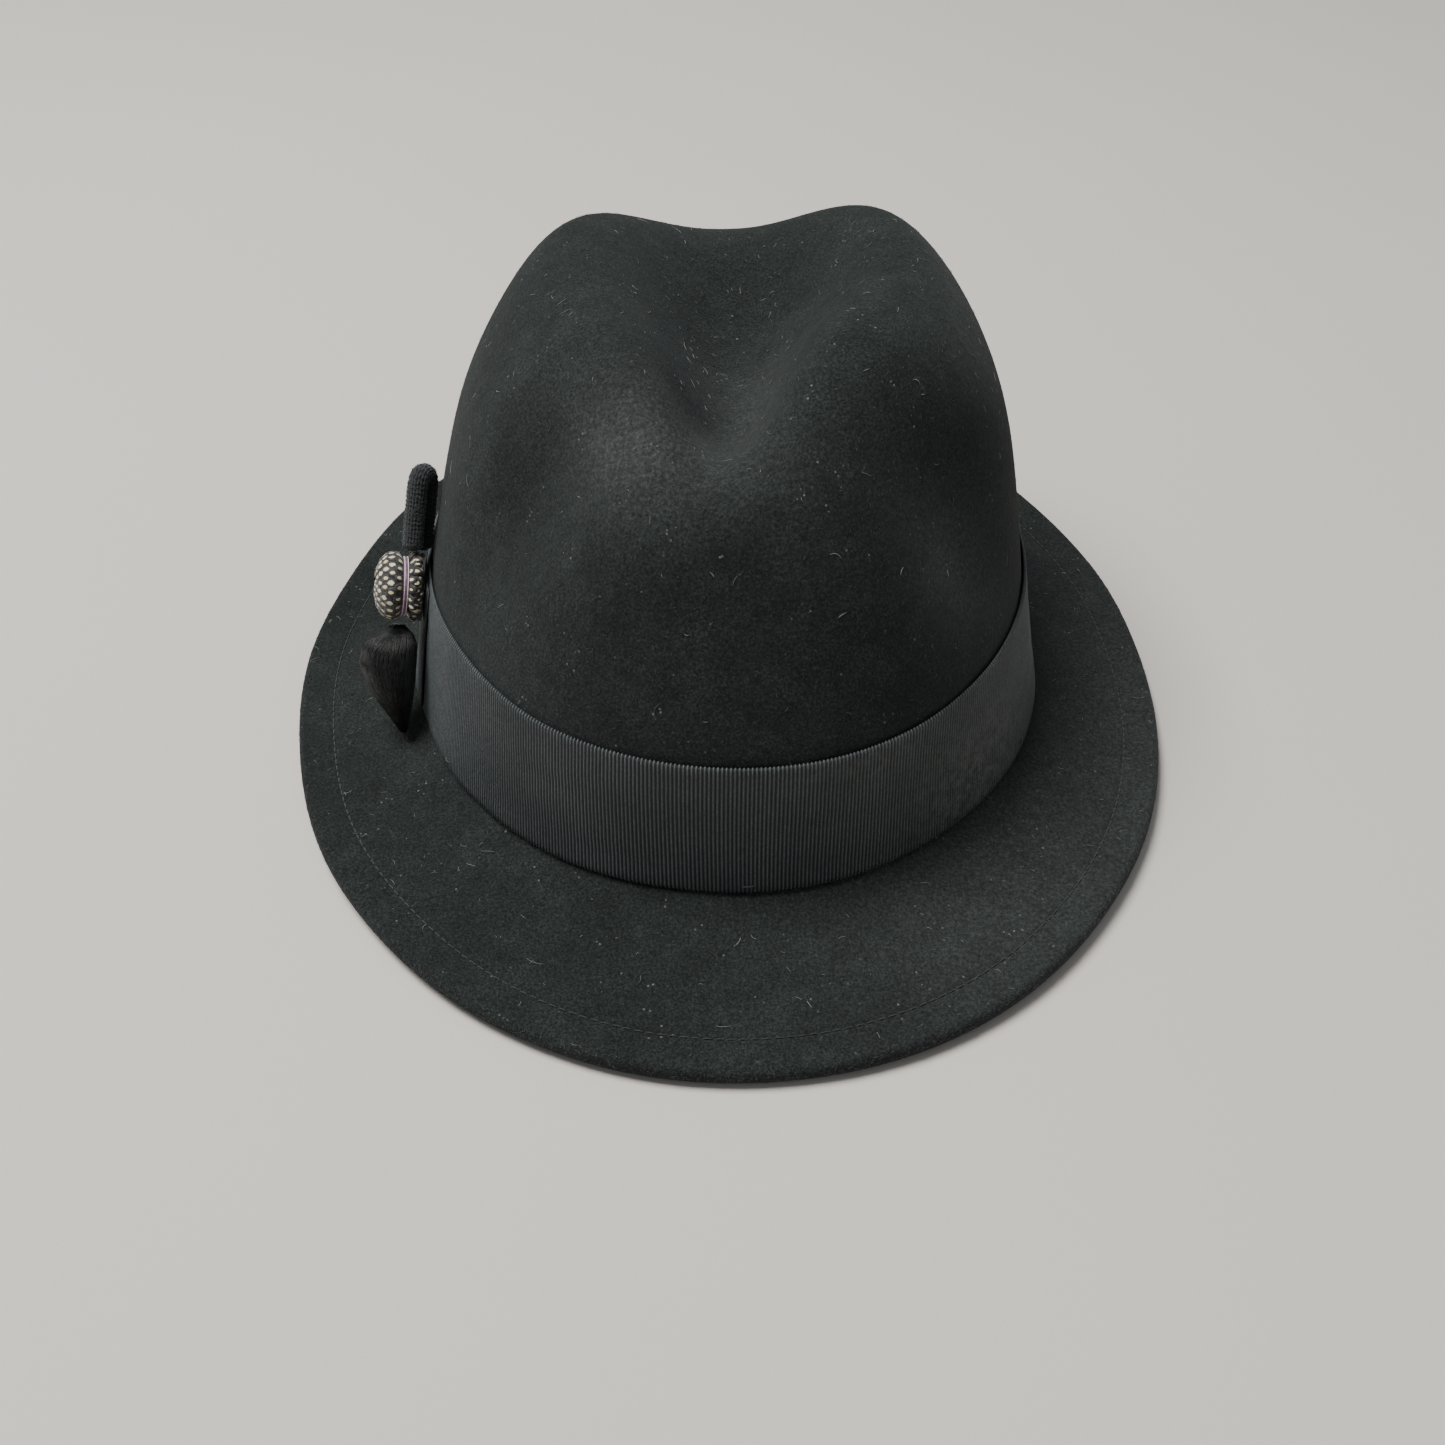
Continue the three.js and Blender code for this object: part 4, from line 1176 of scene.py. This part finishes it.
def feather_ruffle():
    outline = Profile([(6.6, 4.6), (7.8, 4.2), (8.5, 3.5), (8.7, 2.8), (8.2, 2.1), (7.0, 1.5), (5.6, 1.5)])
    core = [(6.4, 4.2), (7.2, 3.9), (7.9, 3.3), (8.0, 2.7), (7.5, 2.2), (6.4, 1.9), (3.0, 1.8)]
    rows = [(0.1, 20, 2.8, 2.6), (1.2, 21, 2.7, 2.5), (2.3, 22, 2.5, 2.4), (3.1, 20, 2.2, 2.2)]
    piece = plumage("ruffle_feathers", core, outline, rows, 6, (0.6, 0.46, 0.30), 0.45, -1)
    finish_piece(piece, "ornament", "feather", "feather_ruffle")


def tie_band():
    foot, top, inner, outer = 4.7, 6.2, 6.5, 7.6
    bow = 0.18
    line = [(inner, foot), (outer - 0.15, foot + 0.05), (outer, foot + 0.3), (outer + bow, (foot + top) / 2),
            (outer, top - 0.3), (outer - 0.15, top - 0.05), (inner, top)]
    rings = lathed(line, 96, 0.003, 3)
    band = ring_body("mauve_tie", rings, mauve, ORNAMENT)
    finish_piece(band, "ornament", "mauve_ribbon", "tie_band")
    angle = turns(240)[None, :]
    ring = turns(6)[:, None]
    for name, height in (("tie_line_inner", foot + 0.15), ("tie_line_outer", top - 0.45)):
        radius = outer + bow * 0.75 + 0.14 * np.cos(ring) + 0.02 * np.cos(angle * 90)
        z = height + 0.14 * np.sin(ring) + 0 * angle
        rings = np.stack([radius * np.cos(angle), radius * np.sin(angle), z], -1)
        finish_piece(ring_body(name, rings, pale_thread, ORNAMENT), "ornament", "mauve_ribbon", "tie_band")


# ---- Brush ----------------------------------------------------------------

BINDING_TOP, BINDING_LENGTH, BINDING_LIFT, BINDING_RADIUS = -10.2, 2.6, 6.4, 2.0
BRUSH_START, BRUSH_TIP = -10.3, -39.0
# Share of the brush's length, half width, inner face, outer face. The narrow neck lets
# the hair swing out to its limit without meeting the feathers.
BRUSH_ROWS = np.array([
    (0.0, 1.8, 4.6, 7.9), (0.03, 2.7, 3.7, 8.8), (0.066, 4.1, 2.7, 10.1), (0.10, 5.3, 1.9, 11.6),
    (0.15, 6.8, 1.3, 13.7), (0.21, 7.6, 1.1, 15.4), (0.37, 7.9, 1.1, 16.0), (0.55, 7.5, 1.2, 13.8),
    (0.73, 6.3, 1.5, 10.6), (0.89, 4.1, 2.1, 6.7), (1.0, 1.8, 2.6, 4.3),
])
HAIR_COUNT, HAIR_CLUMPS, HAIR_STEPS, HAIR_SIDES = 4200, 230, 12, 3
STRAY_SHARE, STRAY_REACH = 0.12, 1.15


def brush_section(share):
    """Half width, middle and half depth of the tuft at a share of its length."""
    half, near, far = (np.interp(share, BRUSH_ROWS[:, 0], BRUSH_ROWS[:, i]) for i in (1, 2, 3))
    return half, (near + far) / 2, (far - near) / 2


def brush_binding():
    turn_count = 6
    steps, sides = 200, 6
    share = np.linspace(0, 1, steps)
    angle = share * turn_count * TURN
    y = BINDING_TOP - 0.2 - share * (BINDING_LENGTH - 0.4)
    radius = BINDING_RADIUS - 0.22
    path = np.stack([radius * np.cos(angle), y, BINDING_LIFT + radius * np.sin(angle)], -1)
    coil = many_bodies("binding_thread", tubes(path[None], np.full((1, steps), 0.22), sides, (0, 1, 0)),
                       steps, sides, thread, ORNAMENT)
    finish_piece(coil, "brush_tuft", "thread", "brush_binding")
    ring = turns(24)
    heights = np.linspace(BINDING_TOP, BINDING_TOP - BINDING_LENGTH, 7)[:, None] + 0 * ring
    inner = BINDING_RADIUS - 0.35 + 0.05 * np.cos(ring * 9)
    across, out = inner * np.cos(ring), BINDING_LIFT + inner * np.sin(ring)
    sections = np.stack([across + 0 * heights, heights, out + 0 * heights], -1)
    root = capped_body("binding_root", sections, hair, ORNAMENT)
    finish_piece(root, "brush_tuft", "hair", "brush_binding")


def hair_paths(draw):
    clump_angle = draw.uniform(0, TURN, HAIR_CLUMPS)
    clump_radius = np.sqrt(draw.uniform(0.10, 1.0, HAIR_CLUMPS)) * 0.93
    clump = draw.integers(0, HAIR_CLUMPS, HAIR_COUNT)
    centre = np.stack([clump_radius * np.cos(clump_angle), clump_radius * np.sin(clump_angle)], -1)
    spread = draw.normal(size=(HAIR_COUNT, 2)) * 0.22
    clump_end = 1.02 - 0.26 * clump_radius ** 2 * draw.uniform(0.0, 1.0, HAIR_CLUMPS)
    end = np.clip(clump_end[clump] + draw.normal(size=HAIR_COUNT) * 0.03, 0.3, 1.0)
    share = np.linspace(0, 1, HAIR_STEPS)[None, :] * end[:, None]
    gather = 1 - 0.62 * (share / end[:, None]) ** 1.3
    wander = 0.17 * np.sin(share * 8 + draw.uniform(0, TURN, (HAIR_COUNT, 1))) * share
    disc = centre[clump][:, None] + spread[:, None] * gather[..., None]
    disc = disc + wander[..., None] * draw.normal(size=(HAIR_COUNT, 1, 2))
    stray = np.where(draw.random((HAIR_COUNT, 1)) < STRAY_SHARE, STRAY_REACH, 1.0)[..., None]
    disc = disc * stray
    disc = disc / np.maximum(np.linalg.norm(disc, axis=-1, keepdims=True), 1)
    half, middle, depth = brush_section(np.minimum(share, 1))
    y = BRUSH_START + (BRUSH_TIP - BRUSH_START) * share
    return np.stack([half * disc[..., 0], y, middle + depth * disc[..., 1]], -1)


def brush():
    draw = np.random.default_rng(17)
    paths = hair_paths(draw)
    taper = np.sqrt(np.linspace(1.0, 0.06, HAIR_STEPS))[None, :]
    radii = draw.uniform(0.06, 0.12, (HAIR_COUNT, 1)) * taper
    bodies = tubes(paths, radii, HAIR_SIDES, (1, 0, 0.4))
    strands = many_bodies("brush_hair", bodies, HAIR_STEPS, HAIR_SIDES, hair, ORNAMENT)
    finish_piece(strands, "brush_tuft", "hair", "brush")
    share = np.linspace(0, 0.93, 26)[:, None]
    angle = turns(40)[None, :]
    half, middle, depth = brush_section(share)
    lock = 0.50 + 0.05 * np.cos(angle * 11 + 3 * np.sin(share * 4)) + 0.03 * np.cos(angle * 23 + share * 9)
    y = BRUSH_START + (BRUSH_TIP - BRUSH_START) * share + 0 * angle
    sections = np.stack([half * lock * np.cos(angle), y, middle + depth * lock * np.sin(angle)], -1)
    core = capped_body("brush_core", sections, hair, ORNAMENT)
    finish_piece(core, "brush_tuft", "hair", "brush")


# ---- Lint -----------------------------------------------------------------


def curled_fibres(name, roots, normals, lengths, radius, lift, seed, material, body, place, slot):
    """Tiny curled fibres that lie on a surface or stand a little off it."""
    steps, sides = 6, 3
    draw = np.random.default_rng(seed)
    count = len(roots)
    side = unit(np.cross(normals, draw.normal(size=(count, 3))))
    other = np.cross(normals, side)
    share = np.linspace(-0.5, 0.5, steps)
    curl = draw.uniform(-0.9, 0.9, (count, 1)) * (share ** 2 - 0.08)
    rise = lift * (0.4 + draw.uniform(0, 1, (count, 1)) * (1 - 3.2 * share ** 2))
    paths = (roots[:, None] + side[:, None] * (share * lengths[:, None])[..., None]
             + other[:, None] * (curl * lengths[:, None])[..., None] + normals[:, None] * rise[..., None])
    radii = np.full((count, 1), radius) * (1 - 1.2 * share ** 2)[None, :]
    bodies = tubes(paths, radii, sides, draw.normal(size=(count, 1, 3)))
    finish_piece(many_bodies(name, bodies, steps, sides, material, place), body, slot)


CROWN_LINT, BRIM_LINT = 300, 230
FELT_FUZZ, CORD_FUZZ = 2600, 900


def felt_lint():
    draw = np.random.default_rng(29)
    crown_turn = draw.uniform(0, TURN, CROWN_LINT)
    climb = np.radians(draw.uniform(19, 84, CROWN_LINT))
    on_crown = crown(crown_turn, climb)
    crown_out = crown_normal(crown_turn, climb)
    brim_turn = draw.uniform(0, TURN, BRIM_LINT)
    reach = draw.uniform(0.12, 0.97, BRIM_LINT)
    on_brim = brim(brim_turn, reach)
    brim_out = np.tile([0.0, 0.0, 1.0], (BRIM_LINT, 1))
    roots = worn(np.concatenate([on_crown, on_brim]))
    normals = np.concatenate([crown_out, brim_out])
    lengths = draw.gamma(2.0, 0.62, CROWN_LINT + BRIM_LINT) + 0.35
    curled_fibres("felt_lint", roots, normals, lengths, 0.055, 0.14, 30, lint, "hat", HAT, "felt")


def edge_fuzz():
    """Short fibres of the felt itself, along the rolled edge of the brim and over the crown."""
    draw = np.random.default_rng(41)
    count = FELT_FUZZ
    turn = draw.uniform(0, TURN, count)
    angle = draw.uniform(-0.2, 1.5, count)
    distance = EDGE_RADIUS * (1 - np.cos(angle))
    drop = WELT_THICKNESS / 2 - (WELT_THICKNESS / 2) * np.sin(angle)
    edge = brim_from_edge(turn, distance, drop)
    away = unit(edge * (1, 1, 0))
    edge_out = unit(away * np.cos(angle)[:, None] + np.array([0, 0, 1.0]) * np.sin(angle)[:, None])
    crown_turn = draw.uniform(0, TURN, count)
    climb = np.radians(draw.uniform(18, 86, count))
    roots = worn(np.concatenate([edge, crown(crown_turn, climb)]))
    normals = np.concatenate([edge_out, crown_normal(crown_turn, climb)])
    lengths = draw.uniform(0.4, 1.3, 2 * count)
    curled_fibres("felt_nap", roots, normals, lengths, 0.035, 0.16, 42, felt_nap, "hat", HAT, "felt")


def cord_fuzz():
    draw = np.random.default_rng(51)
    count = CORD_FUZZ
    share = draw.uniform(0.02, 0.98, count)
    path, _ = loop_path(share)
    ahead, _ = loop_path(share + 0.004)
    plane = unit(np.cross((0, 1, 0), (LEG_APART, 0, LEG_OUT)))
    across = unit(np.cross(unit(ahead - path), plane))
    angle = draw.uniform(0, TURN, count)[:, None]
    normals = unit(across * np.cos(angle) + plane * np.sin(angle))
    roots = path + normals * (CORD_RADIUS - 0.1)
    lengths = draw.uniform(0.8, 2.2, count)
    curled_fibres(
        "cord_fuzz", roots, normals, lengths, 0.04, 0.22, 52, cord_fibre, "ornament", ORNAMENT, "cord"
    )


# ---- Carried-over nodes ---------------------------------------------------


def dress_node(name, material):
    mesh = frame["nodes"][name].data
    mesh.materials.clear()
    mesh.materials.append(material)


# ---- Floor and light ------------------------------------------------------


FLOOR_HALF = 3.0
SKY_COLOUR, SKY_STRENGTH = (0.97, 0.985, 1.0, 1), 0.34
LIGHT_AIM = (0.0, 0.0, 0.06)
# name, place, size, power, colour
LIGHTS = (
    ("key", (-0.56, 0.06, 1.50), 0.80, 45, (1.0, 0.985, 0.96)),
    ("fill", (0.2, -1.3, 1.0), 1.2, 1, (0.97, 0.985, 1.0)),
)


def floor():
    corners = np.array([(-1, -1, 0), (1, -1, 0), (1, 1, 0), (-1, 1, 0)]) * FLOOR_HALF / MM
    plane = np.eye(4)
    plane[:3, :3] *= MM
    piece = add_mesh("floor", corners, np.array([[0, 1, 2, 3]]), NO_TRIANGLES, floor_look(), plane)


def area_light(name, at, size, power, colour):
    data = bpy.data.lights.new(name, "AREA")
    data.size = size
    data.energy = power
    data.color = colour
    light = bpy.data.objects.new(name, data)
    bpy.context.scene.collection.objects.link(light)
    light.location = at
    light.rotation_euler = (Vector(LIGHT_AIM) - Vector(at)).to_track_quat("-Z", "Y").to_euler()


def light_scene():
    world = bpy.data.worlds.new("studio")
    bpy.context.scene.world = world
    world.use_nodes = True
    background = world.node_tree.nodes["Background"]
    background.inputs["Color"].default_value = SKY_COLOUR
    background.inputs["Strength"].default_value = SKY_STRENGTH
    for light in LIGHTS:
        area_light(*light)


# ---- Assembly -------------------------------------------------------------

felt_nap = thread_look("felt_nap", (0.018, 0.020, 0.020), (0.060, 0.064, 0.063))
cord_fibre = thread_look("cord_fibre", (0.014, 0.015, 0.016), (0.050, 0.052, 0.054))

felt_hat()
welt_seam()
hat_ribbon()
ribbon_overlap()
ribbon_tacks()
sweatband()
reed()
reed_tape()
sweatband_seam()
sweatband_bow()
lining_side()
lining_tip()
lining_piping()
cord_loop()
feather_ruffle()
feather_cap()
tie_band()
brush_binding()
brush()
felt_lint()
edge_fuzz()
cord_fuzz()
dress_node("ornament_backing", tape)
dress_node("ornament_pin", steel)
floor()
light_scene()
